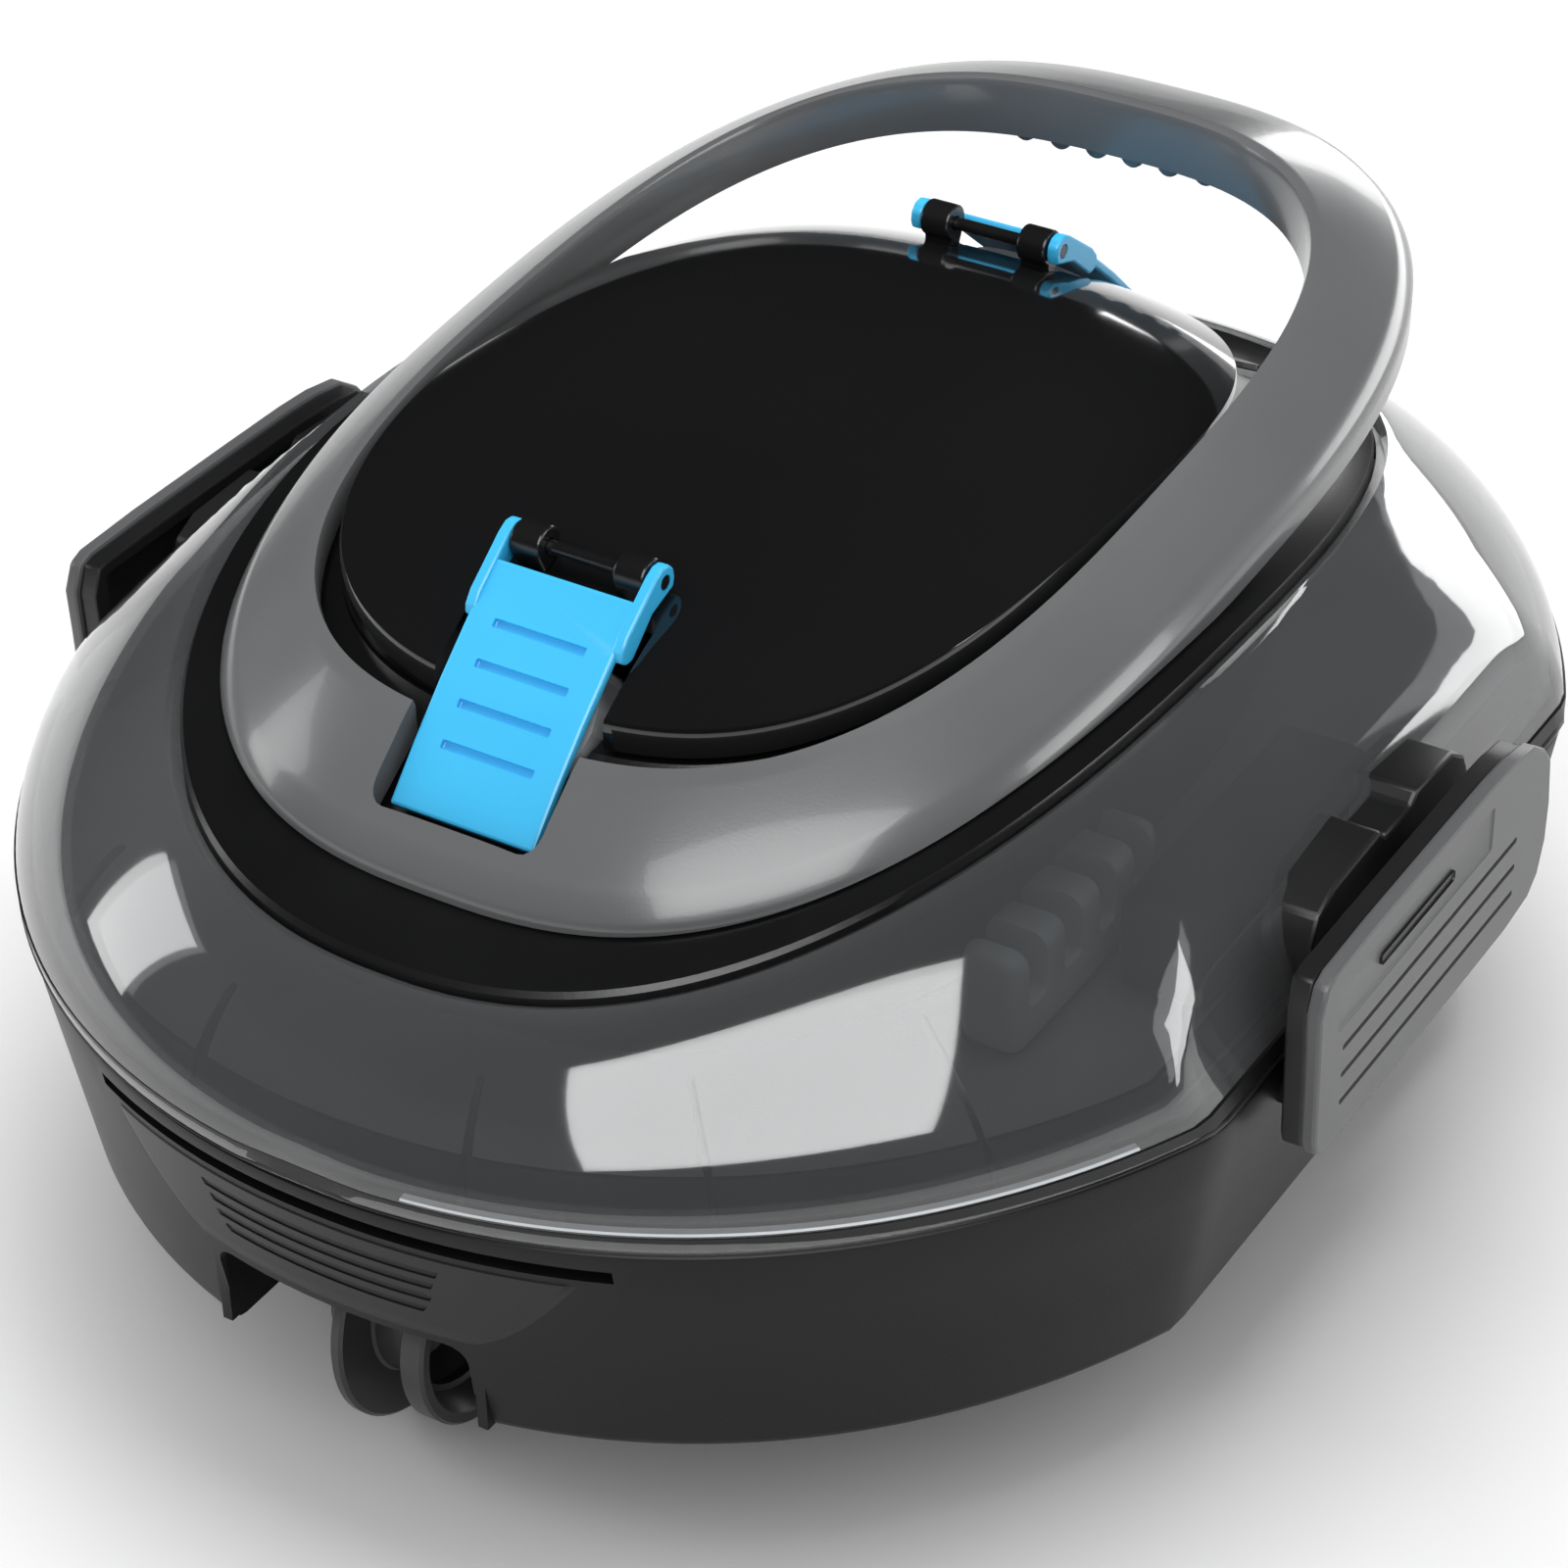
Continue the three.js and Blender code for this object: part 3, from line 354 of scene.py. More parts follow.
# Bumpers: a crescent pressed into each end of the base, ribbed in the middle, under a dark slot.
# Satin black plastic with a little more gloss than the tank, standing a hair proud of it.
bumper_black = plastic(
    "bumper_black_plastic", (0.007, 0.0072, 0.0077), (0.010, 0.0103, 0.011), 0.33,
    grain_size=1200, bump=0.08, specular=0.3,
)
CRESCENT_LOW, CRESCENT_HIGH, CRESCENT_HALF = 57.5, 82.7, 64
PROUD, GROOVE_DEPTH = -0.3, 0.7
groove_heights = [66.1, 69.8, 73.5, 77.2]
crescent_rows = [CRESCENT_LOW, 57.9, 58.8, 62.0]
for height in groove_heights:
    crescent_rows += [height - 1.0, height - 0.6, height + 0.6, height + 1.0]
crescent_rows += [81.4, 82.4, CRESCENT_HIGH]


def front_face(x, inset):
    """The y of the base's front, an inset behind the seam's outline."""
    across = abs(x / (SEAM[0] - inset)) ** SEAM[2]
    return -(SEAM[1] - inset) * max(0.0, 1 - across) ** (1 / SEAM[2])


def middle_rise(x):
    """How far the crescent's upper edge and the slot rise in the middle."""
    return 1.3 * (1 - (x / CRESCENT_HALF) ** 2)


def bumper_corner(turn, corner):
    z = crescent_rows[corner]
    part = (z - CRESCENT_LOW) / 25.5
    x = (turn * 2 - 1) * (34 + 30 * max(0.0, part) ** 0.62)
    near_edge = min(z - CRESCENT_LOW, CRESCENT_HIGH - z)
    depth = PROUD if near_edge > 1 else 0.9 * (1 - near_edge) + PROUD
    side = abs(turn * 2 - 1)
    depth = max(depth, PROUD + 1.1 * max(0.0, side - 0.9) / 0.1)
    in_groove = any(abs(z - height) < 0.8 for height in groove_heights)
    if in_groove and abs(x) < 29.5 - (groove_heights[-1] - z) * 0.4:
        depth = GROOVE_DEPTH
    z += middle_rise(x) * part
    return x, front_face(x, taper(z) + depth), z


def curved_strip(name, rows, place, thickness, offset, material=None):
    """A strip that follows the front of the base, with a wall of a thickness in mm."""
    bpy.ops.object.select_all(action="DESELECT")
    bpy.ops.mesh.primitive_grid_add(x_subdivisions=128, y_subdivisions=rows, size=1)
    piece = bpy.context.object
    piece.name = piece.data.name = name
    for vertex in piece.data.vertices:
        vertex.co = [MM * v for v in place(vertex.co.x + 0.5, round((vertex.co.y + 0.5) * rows))]
    if material:
        piece.data.materials.append(material)
    lone(piece)
    wall = piece.modifiers.new("wall", "SOLIDIFY")
    wall.thickness = thickness * MM
    wall.offset = offset
    bpy.ops.object.modifier_apply(modifier="wall")
    clean_up(piece)
    return piece


SLOT_HEIGHTS, SLOT_DEPTH = (83.9, 87.3), 2.6


def slot_corner(turn, corner):
    x = -61.5 + 126 * turn
    z = SLOT_HEIGHTS[corner] + middle_rise(x)
    return x, front_face(x, taper(z) + SLOT_DEPTH), z


for end in (1, -1):
    slot_tool = curved_strip("slot_tool", 1, slot_corner, 7, 1)
    if end < 0:
        for vertex in slot_tool.data.vertices:
            vertex.co.x, vertex.co.y = -vertex.co.x, -vertex.co.y
    join_solid(base, slot_tool)
clean_up(base)
front_bumper = curved_strip(
    "front_bumper_pad", len(crescent_rows) - 1, bumper_corner, 1.9, -1, bumper_black,
)
rear_bumper = turned_copy(front_bumper, "rear_bumper_pad")
for piece, node in [(front_bumper, "front_bumper"), (rear_bumper, "rear_bumper")]:
    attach(piece, "base")
    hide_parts(node)


# Underside and seal: a service plate on four steel screws, and two inlet doors of frosted plastic,
# hinged on steel pins, that stop the debris falling out again. A rubber gasket runs round inside
# the seam of the tank.
def metal(name, dark, light, roughness):
    made = plastic(name, dark, light, roughness, grain_size=2200, bump=0.04)
    made.node_tree.nodes["Principled BSDF"].inputs["Metallic"].default_value = 1.0
    return made


steel = metal("brushed_steel", (0.40, 0.41, 0.42), (0.55, 0.56, 0.57), 0.28)
plate_black = plastic(
    "plate_black_plastic", (0.016, 0.0165, 0.0175), (0.024, 0.0245, 0.026), 0.46, bump=0.14,
)
frosted = plastic("frosted_plastic", (0.52, 0.55, 0.57), (0.64, 0.67, 0.69), 0.38, bump=0.05)
rubber = plastic(
    "black_rubber", (0.010, 0.010, 0.0105), (0.018, 0.018, 0.019), 0.78,
    grain_size=700, bump=0.3,
)
dress("bottom_plate", plate_black)
for i in range(1, 5):
    dress(f"plate_screw_{i}", steel)
for end in ("front", "rear"):
    dress(f"{end}_inlet_flap", frosted)
    dress(f"{end}_inlet_pin", steel)
dress("base_gasket", rubber)


# Filter: an oval frame, moulded in grey plastic, that stands in the tank with a fine grey cloth
# stretched across it.
filter_grey = plastic("filter_grey_plastic", (0.10, 0.105, 0.11), (0.14, 0.145, 0.15), 0.5)
mesh_grey = plastic(
    "filter_mesh_cloth", (0.26, 0.28, 0.29), (0.40, 0.42, 0.43), 0.75,
    grain_size=2500, bump=0.6,
)
dress("filter_frame", filter_grey)
dress("filter_screen", mesh_grey)


# Running gear: grey wheels with black rubber tyres, and at each end a dark moulded roller with one
# tall flange and a hollow hub. All of them run on steel axles.
wheel_grey = plastic("wheel_grey_plastic", (0.075, 0.078, 0.082), (0.10, 0.103, 0.108), 0.42)
for side in ("left", "right"):
    dress(f"{side}_wheel", wheel_grey)
    dress(f"{side}_tyre", rubber)
    dress(f"{side}_axle", steel)
roller_dark = plastic(
    "roller_dark_plastic", (0.022, 0.0225, 0.0235), (0.032, 0.0325, 0.034), 0.34,
    grain_size=1200, bump=0.06,
)
# Each corner of the roller's section: place along the axle, radius.
roller_profile = [
    (-17, 3.4), (-17, 18.7), (-16.3, 19.5), (-9.1, 19.5),
    (-8.5, 20.2), (-8.5, 30.2), (-7.8, 31), (-6, 31), (-5.3, 30.2), (-5.3, 20.2),
    (-4.7, 19.5), (5.6, 19.5), (6.2, 20.4), (6.2, 25.6), (6.9, 26.4), (11.8, 26.4),
    (12.5, 25.7), (12.5, 23.6), (12.0, 23.0), (-3, 17.0), (-4, 15.5), (-4, 7), (-3.4, 6.2),
    (11.8, 6.2), (12.5, 5.6), (12.5, 3.4),
]


def roller_corner(turn, corner):
    along, radius = roller_profile[corner]
    angle = 2 * math.pi * turn
    return along, -ROLLER_Y + radius * math.cos(angle), ROLLER_Z + radius * math.sin(angle)


front_roller = ring_of("front_end_roller", 72, len(roller_profile), roller_corner, roller_dark)
rear_roller = turned_copy(front_roller, "rear_end_roller")
for piece, node in ((front_roller, "front_roller"), (rear_roller, "rear_roller")):
    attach(piece, node)
    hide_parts(node)
    dress(node.replace("roller", "axle"), steel)


# Clear cover: a smoke-tinted polycarbonate canopy, pulled in from the seam to the bezel,
# with two sloping planes at each side. It is moulded in one, 2.6 mm thick, and its lip sits on the
# base along the seam.
def clear_plastic(name, tint, tint_share):
    """See-through plastic: a smoke tint to look through, and a clean gloss where light strikes."""
    made, tree, bsdf = shader(name, 0.05)
    where = tree.nodes.new("ShaderNodeTexCoord").outputs["Object"]
    drift = tree.nodes.new("ShaderNodeTexNoise")
    drift.inputs["Scale"].default_value = 9
    tree.links.new(where, drift.inputs["Vector"])
    ramp = tree.nodes.new("ShaderNodeValToRGB")
    ramp.color_ramp.elements[0].color = (0.10, 0.103, 0.106, 1)
    ramp.color_ramp.elements[1].color = (0.16, 0.163, 0.168, 1)
    tree.links.new(drift.outputs["Fac"], ramp.inputs["Fac"])
    tree.links.new(ramp.outputs["Color"], bsdf.inputs["Base Color"])
    rough = tree.nodes.new("ShaderNodeMapRange")
    rough.inputs["To Min"].default_value = 0.03
    rough.inputs["To Max"].default_value = 0.08
    tree.links.new(drift.outputs["Fac"], rough.inputs["Value"])
    tree.links.new(rough.outputs["Result"], bsdf.inputs["Roughness"])
    relief = tree.nodes.new("ShaderNodeBump")
    relief.inputs["Strength"].default_value = 0.03
    relief.inputs["Distance"].default_value = 0.001
    tree.links.new(drift.outputs["Fac"], relief.inputs["Height"])
    tree.links.new(relief.outputs["Normal"], bsdf.inputs["Normal"])
    bsdf.inputs["IOR"].default_value = 2.0
    bsdf.inputs["Coat Weight"].default_value = 1.0
    bsdf.inputs["Coat IOR"].default_value = 1.8
    bsdf.inputs["Coat Roughness"].default_value = 0.03
    through = tree.nodes.new("ShaderNodeBsdfTransparent")
    through.inputs["Color"].default_value = (*tint, 1)
    edge = tree.nodes.new("ShaderNodeLayerWeight")
    edge.inputs["Blend"].default_value = 0.35
    amount = tree.nodes.new("ShaderNodeMapRange")
    amount.inputs["To Min"].default_value = tint_share
    amount.inputs["To Max"].default_value = 0.92
    tree.links.new(edge.outputs["Facing"], amount.inputs["Value"])
    mix = tree.nodes.new("ShaderNodeMixShader")
    tree.links.new(amount.outputs["Result"], mix.inputs["Fac"])
    tree.links.new(through.outputs["BSDF"], mix.inputs[1])
    tree.links.new(bsdf.outputs["BSDF"], mix.inputs[2])
    tree.links.new(mix.outputs["Shader"], tree.nodes["Material Output"].inputs["Surface"])
    return made


BEZEL = (110.7, 164.0, 2.33)
COVER_FOOT, COVER_WALL = 92.6, 2.6
LOWER_LEAN, UPPER_LEAN, CREASE_HEIGHT, CREASE_HALF = 0.386, 0.83, 120, 141
LONGEST = 194.8


def bezel_edge(y):
    """The height of the bezel's outer edge, which is where the cover ends."""
    return 154.7 - 0.011 * y - 0.00102 * y * y


def cover_point(turn, rise, inset):
    """A point of the cover, from the seam at rise 0 to the bezel at rise 1."""
    fx, fy = superellipse(SEAM[0] - inset, SEAM[1] - inset, SEAM[2], turn, flat_x=SIDE_FLAT - inset)
    tx, ty = superellipse(BEZEL[0] - inset + 3.1, BEZEL[1] - inset + 3.1, BEZEL[2], turn)
    angle = rise * math.pi / 2
    inward, height = math.sin(angle) ** 2, math.sin(angle) ** 1.3
    x, y = fx + (tx - fx) * inward, fy + (ty - fy) * inward
    out = Vector((x / SEAM[0] ** 2, y / SEAM[1] ** 2)).normalized() * 4 * math.sin(math.pi * rise)
    z = COVER_FOOT + (bezel_edge(ty) - 0.4 - (2.2 if inset > 1 else 0) - COVER_FOOT) * height
    side = min(
        SIDE_FLAT - inset - LOWER_LEAN * (z - SEAM_HEIGHT),
        CREASE_HALF - inset - UPPER_LEAN * (z - CREASE_HEIGHT),
    )
    limit = max(side, abs(tx))
    y = max(-LONGEST, min(LONGEST, y + out.y))
    return max(-limit, min(limit, x + out.x)), y, z


cover_rises = [i / 22 for i in range(23)]
cover_rows = [(r, 0.0) for r in cover_rises]
cover_rows += [(r, COVER_WALL) for r in reversed(cover_rises[::2])]
smoked_clear = clear_plastic("smoked_clear_plastic", (0.84, 0.85, 0.86), 0.34)
cover = ring_of(
    "clear_canopy", 224, len(cover_rows),
    lambda turn, corner: cover_point(turn, *cover_rows[corner]), smoked_clear,
)
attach(cover, "top_unit")
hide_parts("clear_cover")


# Rim of the cover: a black band over the seam with a fine bead at its foot, and just above it, at
# the front and the rear, a thin pale strip on the cover's lip whose pale colour is a painted
# highlight. Both belong to the cover.
WIDEST = 194.9
rim_rows = [
    (0.5, 92.7), (-0.35, 92.9), (-0.55, 93.3), (-0.3, 93.7), (-0.1, 93.9),
    (-0.35, 94.2), (-0.6, 97.2), (0.4, 97.6), (2.4, 97.6), (2.5, 92.8),
]
highlight_strip_rows = [(-0.3, 97.7), (-0.6, 98.0), (-0.3, 98.4), (1.6, 98.3)]


def rim_corner(turn, corner):
    inset, z = rim_rows[corner]
    flat = SIDE_FLAT - inset - LOWER_LEAN * max(0.0, z - SEAM_HEIGHT)
    x, y = superellipse(SEAM[0] - inset, SEAM[1] - inset, SEAM[2], turn, flat_x=flat)
    return x, max(-WIDEST, min(WIDEST, y)), z


rim = ring_of("cover_rim", 224, len(rim_rows), rim_corner, bumper_black)
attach(rim, "top_unit")
for name, first in (("front", 0.772), ("rear", 0.272)):
    def highlight_strip_corner(turn, corner):
        inset, z = highlight_strip_rows[corner]
        place = first + 0.14 * abs(1 - 2 * turn)
        x, y = superellipse(SEAM[0] - inset, SEAM[1] - inset, SEAM[2], place, flat_x=149)
        return x, y, z

    # A pale frosted strip along the cover's lip: a painted highlight, not a separate pale part.
    highlight_strip = ring_of(f"{name}_ledge", 96, len(highlight_strip_rows), highlight_strip_corner, frosted)
    for vertex in highlight_strip.data.vertices:
        vertex.co.y = max(-WIDEST * MM, min(WIDEST * MM, vertex.co.y))
    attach(highlight_strip, "top_unit")


# Ribs of the cover: thin upright webs that stiffen it from inside, moulded in one with it. They
# stand at uneven steps round the seam and shrink towards their tops.
rib_dark = plastic(
    "rib_smoked_plastic", (0.006, 0.0062, 0.0066), (0.010, 0.0102, 0.0108), 0.2, bump=0.02,
)
front_rib_turns = [0.535, 0.60, 0.66, 0.72, 0.783, 0.832, 0.885]
rear_rib_turns = [0.085, 0.155, 0.225, 0.275, 0.36, 0.42]
for i, turn in enumerate(front_rib_turns + rear_rib_turns):
    bpy.ops.object.select_all(action="DESELECT")
    bpy.ops.mesh.primitive_grid_add(x_subdivisions=2, y_subdivisions=12, size=1)
    rib = bpy.context.object
    rib.name = rib.data.name = f"cover_rib_{i + 1}"
    for vertex in rib.data.vertices:
        rise = 0.06 + 0.52 * (vertex.co.y + 0.5)
        depth = 2.8 + 4.5 * (vertex.co.x + 0.5) * (1 - 0.6 * (vertex.co.y + 0.5))
        vertex.co = [MM * v for v in cover_point(turn, rise, depth)]
    rib.data.materials.append(rib_dark)
    lone(rib)
    wall = rib.modifiers.new("wall", "SOLIDIFY")
    wall.thickness = 1.3 * MM
    wall.offset = 0
    bpy.ops.object.modifier_apply(modifier="wall")
    clean_up(rib)
    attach(rib, "top_unit")


# Inside the cover: the grey deck with a dark band along its wall, the motor housing with its
# battery and board, the two thruster ducts, and at each side a float chamber and a water guide.
# Moulded plastic, screwed or clipped to the deck, behind a dark wall that stands under the bezel
# and darkens the view through the cover there.
DECK_TOP = 96.6
deck_black = plastic("deck_black_plastic", (0.012, 0.0125, 0.013), (0.02, 0.0205, 0.0215), 0.5)
board_green = plastic("board_green_resin", (0.01, 0.06, 0.025), (0.02, 0.09, 0.035), 0.45)
cell_wrap = plastic("cell_blue_wrap", (0.02, 0.055, 0.13), (0.03, 0.08, 0.18), 0.4)
deck_grey = plastic("deck_grey_plastic", (0.26, 0.264, 0.27), (0.34, 0.345, 0.352), 0.4)
dress("deck_plate", deck_grey)
dress("motor_housing", deck_black)
dress("control_board", board_green)
dress("battery_pack", cell_wrap)
band_rows = [(5.2, 96.4), (4.6, 100), (5.4, 104), (6.4, 106.4), (7.6, 106.4), (7.6, 96.4)]


def band_corner(turn, corner):
    inset, z = band_rows[corner]
    x, y = superellipse(SEAM[0] - inset, SEAM[1] - inset, SEAM[2], turn, flat_x=147 - inset)
    return x, y, z


deck_band = ring_of("deck_wall_band", 160, len(band_rows), band_corner, deck_black)
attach(deck_band, "top_unit")
wall_rows = [("low", 0.0), ("low", 0.5), ("high", 0.5), ("high", 0.0)]


def dark_under_bezel_wall_corner(turn, corner):
    """A dark wall from the deck up to just under the bezel, which darkens the view through the
    cover below the bezel.
    """
    end, back = wall_rows[corner]
    lx, ly = superellipse(92 - 5 * back, 136 - 5 * back, BEZEL[2], turn)
    hx, hy = superellipse(103 - 5 * back, 152 - 5 * back, BEZEL[2], turn)
    return (lx, ly, DECK_TOP) if end == "low" else (hx, hy, bezel_edge(hy) - 9.5)


dark_under_bezel_wall = ring_of("dark_under_bezel_wall", 160, len(wall_rows), dark_under_bezel_wall_corner, deck_black)
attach(dark_under_bezel_wall, "top_unit")
for name, side in (("right", 1), ("left", -1)):
    x0, x1 = sorted((side * 112, side * 133))
    chamber = block(x0, x1, -58, 20, DECK_TOP, 120, 3)
    chamber.name = chamber.data.name = f"{name}_float_chamber"
    chamber.data.materials.append(deck_black)
    clean_up(chamber)
    x0, x1 = sorted((side * 93, side * 108))
    guide = block(x0, x1, -92, -30, DECK_TOP, 122, 4, along=2)
    guide.name = guide.data.name = f"{name}_water_guide"
    for i in range(4):
        y = -87 + 15 * i
        join_solid(guide, block(x0 - 2, x1 + 2, y, y + 7, 108, 130, 2, along=0))
    guide.data.materials.clear()
    guide.data.materials.append(frosted)
    bevelled(guide, 0.6)
    for piece in (chamber, guide):
        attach(piece, "top_unit")
for end in ("front", "rear"):
    dress(f"{end}_duct", frosted)
    dress(f"{end}_motor", steel)
    dress(f"{end}_propeller", wheel_grey)


# Bezel: the black ring between cover and lid, rising inward to the foot of the lid's skirt.
# Satin black ABS, bored under each flap for the thruster, and at the rear for button and socket.
DOME = (81.6, 112.2, 2.72)
SKIRT, BEZEL_WALL = 8, 2.6
bezel_black = plastic(
    "bezel_black_plastic", (0.0055, 0.0056, 0.006), (0.008, 0.0082, 0.0086), 0.3,
    grain_size=1300, bump=0.08,
)


def dome_edge(y):
    """The height of the lid's edge."""
    return 174.4 - 0.012 * y - 0.00102 * y * y


def bezel_height(x, y):
    """The height of the bezel's upper face."""
    outer = (abs(x / BEZEL[0]) ** BEZEL[2] + abs(y / BEZEL[1]) ** BEZEL[2]) ** (1 / BEZEL[2])
    inner = (abs(x / DOME[0]) ** DOME[2] + abs(y / DOME[1]) ** DOME[2]) ** (1 / DOME[2])
    across = max(0.0, min(1.0, (1 / outer - 1) / (1 / outer - 1 / inner)))
    edge = bezel_edge(y / outer)
    return edge + (dome_edge(y / inner) - SKIRT - edge) * across ** 2


bezel_parts = [0, 0.02, 0.15, 0.3, 0.45, 0.6, 0.75, 0.88]
# Each corner of the section: which face it lies on, how far along it or behind it, how far below.
bezel_rows = [("skirt", 0, SKIRT), ("skirt", 0, 1.2)]
bezel_rows += [("across", p, 0) for p in bezel_parts[1:]]
bezel_rows += [("foot", 0, 0), ("foot", 7, 0), ("foot", 7, BEZEL_WALL), ("foot", 0, BEZEL_WALL)]
bezel_rows += [("across", p, BEZEL_WALL) for p in reversed(bezel_parts[2:])]
bezel_rows += [("skirt", 2.4, BEZEL_WALL), ("skirt", 2.4, SKIRT)]


def bezel_corner(turn, corner):
    kind, part, drop = bezel_rows[corner]
    if kind == "skirt":
        x, y = superellipse(BEZEL[0] - part, BEZEL[1] - part, BEZEL[2], turn)
        return x, y, bezel_edge(y) - drop
    if kind == "foot":
        x, y = superellipse(DOME[0] - part, DOME[1] - part, DOME[2], turn)
        return x, y, dome_edge(y) - SKIRT - drop
    bx, by = superellipse(*BEZEL, turn)
    dx, dy = superellipse(*DOME, turn)
    x, y = bx + (dx - bx) * part, by + (dy - by) * part
    return x, y, bezel_height(x, y) - drop


bezel = ring_of("bezel_moulding", 192, len(bezel_rows), bezel_corner, bezel_black)
flap_top, flap_low = Vector((0, -92.2, 180.6)), Vector((0, -133.6, 143.1))
flap_slope = math.atan2(flap_top.z - flap_low.z, flap_top.y - flap_low.y)
flap_out = Vector((0, -math.sin(flap_slope), math.cos(flap_slope)))
THRUSTER_BORE, BUTTON_BORE, SOCKET_BORE = 18.3, 12.3, 8.3
for end in (1, -1):
    bore = rod(THRUSTER_BORE, -40, 20, 2, (0, 0))
    place = (flap_top + flap_low) / 2 - flap_out * 3.9
    for vertex in bore.data.vertices:
        point = Matrix.Rotation(flap_slope, 3, "X") @ (vertex.co / MM) + place
        vertex.co = Vector((end * point.x, end * point.y, point.z)) * MM
    join_solid(bezel, bore)
for side, radius in ((1, BUTTON_BORE), (-1, SOCKET_BORE)):
    bore = rod(radius, -12, 12, 2, (0, 0))
    place = Vector((side * 40, 131, bezel_height(40, 131)))
    for vertex in bore.data.vertices:
        point = Matrix.Rotation(-0.5, 3, "X") @ (vertex.co / MM) + place
        vertex.co = point * MM
    join_solid(bezel, bore)
clean_up(bezel)
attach(bezel, "top_unit")
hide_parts("bezel_ring")


# Lid: a polished black dome with a short skirt, notched at both ends for the flaps and
# slotted for their hooks. Gloss ABS, straight from a mirror-finished tool.
CROWN, LID_WALL = 187, 2.4
gloss_black = plastic(
    "gloss_black_plastic", (0.008, 0.0081, 0.0086), (0.011, 0.0112, 0.0118), 0.09,
    coat=0.8, grain_size=60, bump=0.012, mottle=6,
)
dome_parts = [0.0, 0.12, 0.26, 0.4, 0.52, 0.62, 0.71, 0.79, 0.86, 0.91, 0.95, 0.98, 0.995]
# Each corner of the section: share of the way out from the crown, inset, how far below.
dome_rows = [(p, 0.0, 0.0) for p in dome_parts]
dome_rows += [(1.0, 0.0, 0.9), (1.0, 0.0, 2.6), (1.0, 0.0, 6.4), (1.0, 0.3, 6.6)]
dome_rows += [(1.0, LID_WALL, 6.6), (1.0, LID_WALL, 3.0)]
dome_rows += [(p, LID_WALL, 0.0) for p in reversed(dome_parts[::2])]


def dome_corner(turn, corner):
    part, inset, drop = dome_rows[corner]
    x, y = superellipse(*DOME, turn)
    edge = dome_edge(y)
    grow = part * (1 - inset / DOME[0])
    z = edge + (CROWN - edge) * (1 - part ** 3.2) - drop - (inset if part < 1 else 0)
    return x * grow, y * grow, z


dome = ring_of("dome_cap", 176, len(dome_rows), dome_corner, gloss_black)
HOOK_X = 12.9
for end in (-1, 1):
    y0, y1 = sorted((end * 88.8, end * 130))
    join_solid(dome, block(-21, 21, y0, y1, 100, 220, 2.5, along=2))
    for x in (-HOOK_X, HOOK_X):
        y0, y1 = sorted((end * 82.2, end * 88.9))
        join_solid(dome, block(x - 4, x + 4, y0, y1, 100, 220))
clean_up(dome)
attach(dome, "top_unit")
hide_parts("dome_lid")


# Flap hinges: two curled black hooks at each end of the lid hold a black pin, and a sky-blue
# flap with two ears swings on it over the thruster's mouth. Moulded plastic, the flap with four
# grooves across its face.
FLAP_PIN = (-84.5, 181.9)
PIN_HOLE = 1.8
hook_black = plastic(
    "hook_black_plastic", (0.008, 0.0082, 0.0088), (0.012, 0.0123, 0.013), 0.26, bump=0.05,
)
sky_blue = plastic(
    "sky_blue_plastic", (0.045, 0.52, 0.93), (0.058, 0.58, 0.98), 0.3,
    grain_size=1500, bump=0.05,
)


def profile_slab(name, points, x0, x1, material, edge):
    """A plate cut to a closed outline in the YZ plane, in mm, with its edges eased."""
    bpy.ops.object.select_all(action="DESELECT")
    bpy.ops.mesh.primitive_circle_add(vertices=len(points), fill_type="NGON")
    piece = bpy.context.object
    piece.name = piece.data.name = name
    for vertex, (y, z) in zip(piece.data.vertices, points):
        vertex.co = Vector((x0, y, z)) * MM
    bpy.ops.object.mode_set(mode="EDIT")
    bpy.ops.mesh.select_all(action="SELECT")
    bpy.ops.mesh.extrude_region_move(TRANSFORM_OT_translate={"value": ((x1 - x0) * MM, 0, 0)})
    bpy.ops.object.mode_set(mode="OBJECT")
    piece.data.materials.append(material)
    clean_up(piece)
    bevelled(piece, edge)
    return piece


def arc(centre, radius, start, end, steps):
    """Points along a part of a circle, between two angles in degrees."""
    return [
        (
            centre[0] + radius * math.cos(math.radians(start + (end - start) * i / steps)),
            centre[1] + radius * math.sin(math.radians(start + (end - start) * i / steps)),
        )
        for i in range(steps + 1)
    ]


for place, side in (("left", -1), ("right", 1)):
    x = side * HOOK_X
    outline = [(-82.5, 170), (-82.5, 176)] + arc(FLAP_PIN, 4.3, -60, 210, 22)
    outline += [(-86.5, 176), (-86.5, 170)]
    hook = profile_slab(f"front_{place}_clip", outline, x - 3.7, x + 3.7, hook_black, 0.5)
    join_solid(hook, rod(PIN_HOLE, x - 6, x + 6, 0, FLAP_PIN, 32))
    clean_up(hook)
    other = "right" if place == "left" else "left"
    rear_hook = turned_copy(hook, f"rear_{other}_clip")
    for piece, node in ((hook, f"front_{place}_hook"), (rear_hook, f"rear_{other}_hook")):
        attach(piece, "top_unit")
        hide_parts(node)
dress("front_flap_pin", hook_black)
dress("rear_flap_pin", hook_black)

under = -flap_out * 2.4
middle = (flap_top + flap_low) / 2 + Vector((0, -0.9, 0.9))
swell = flap_out * 0.25
ridge = [
    flap_top, flap_top * 0.5 + middle * 0.5 + swell,
    middle, flap_low * 0.5 + middle * 0.5 + swell, flap_low,
]
flap_outline = [(p.y, p.z) for p in ridge]
flap_outline += [((p + under).y, (p + under).z) for p in reversed(ridge)]
flap = profile_slab("front_flap_plate", flap_outline, -18, 18, sky_blue, 0.7)
ear_outline = [
    (-81.5, 179.5), (-80.9, 181.6), (-81.3, 183.9), (-83.0, 185.5), (-85.4, 185.7),
    (-88.0, 184.4), (-99.0, 176.3), (-101.2, 173.6), (-101.5, 171.4), (-99.8, 170.0),
    (-97.5, 169.9), (-89.5, 176.9),
]
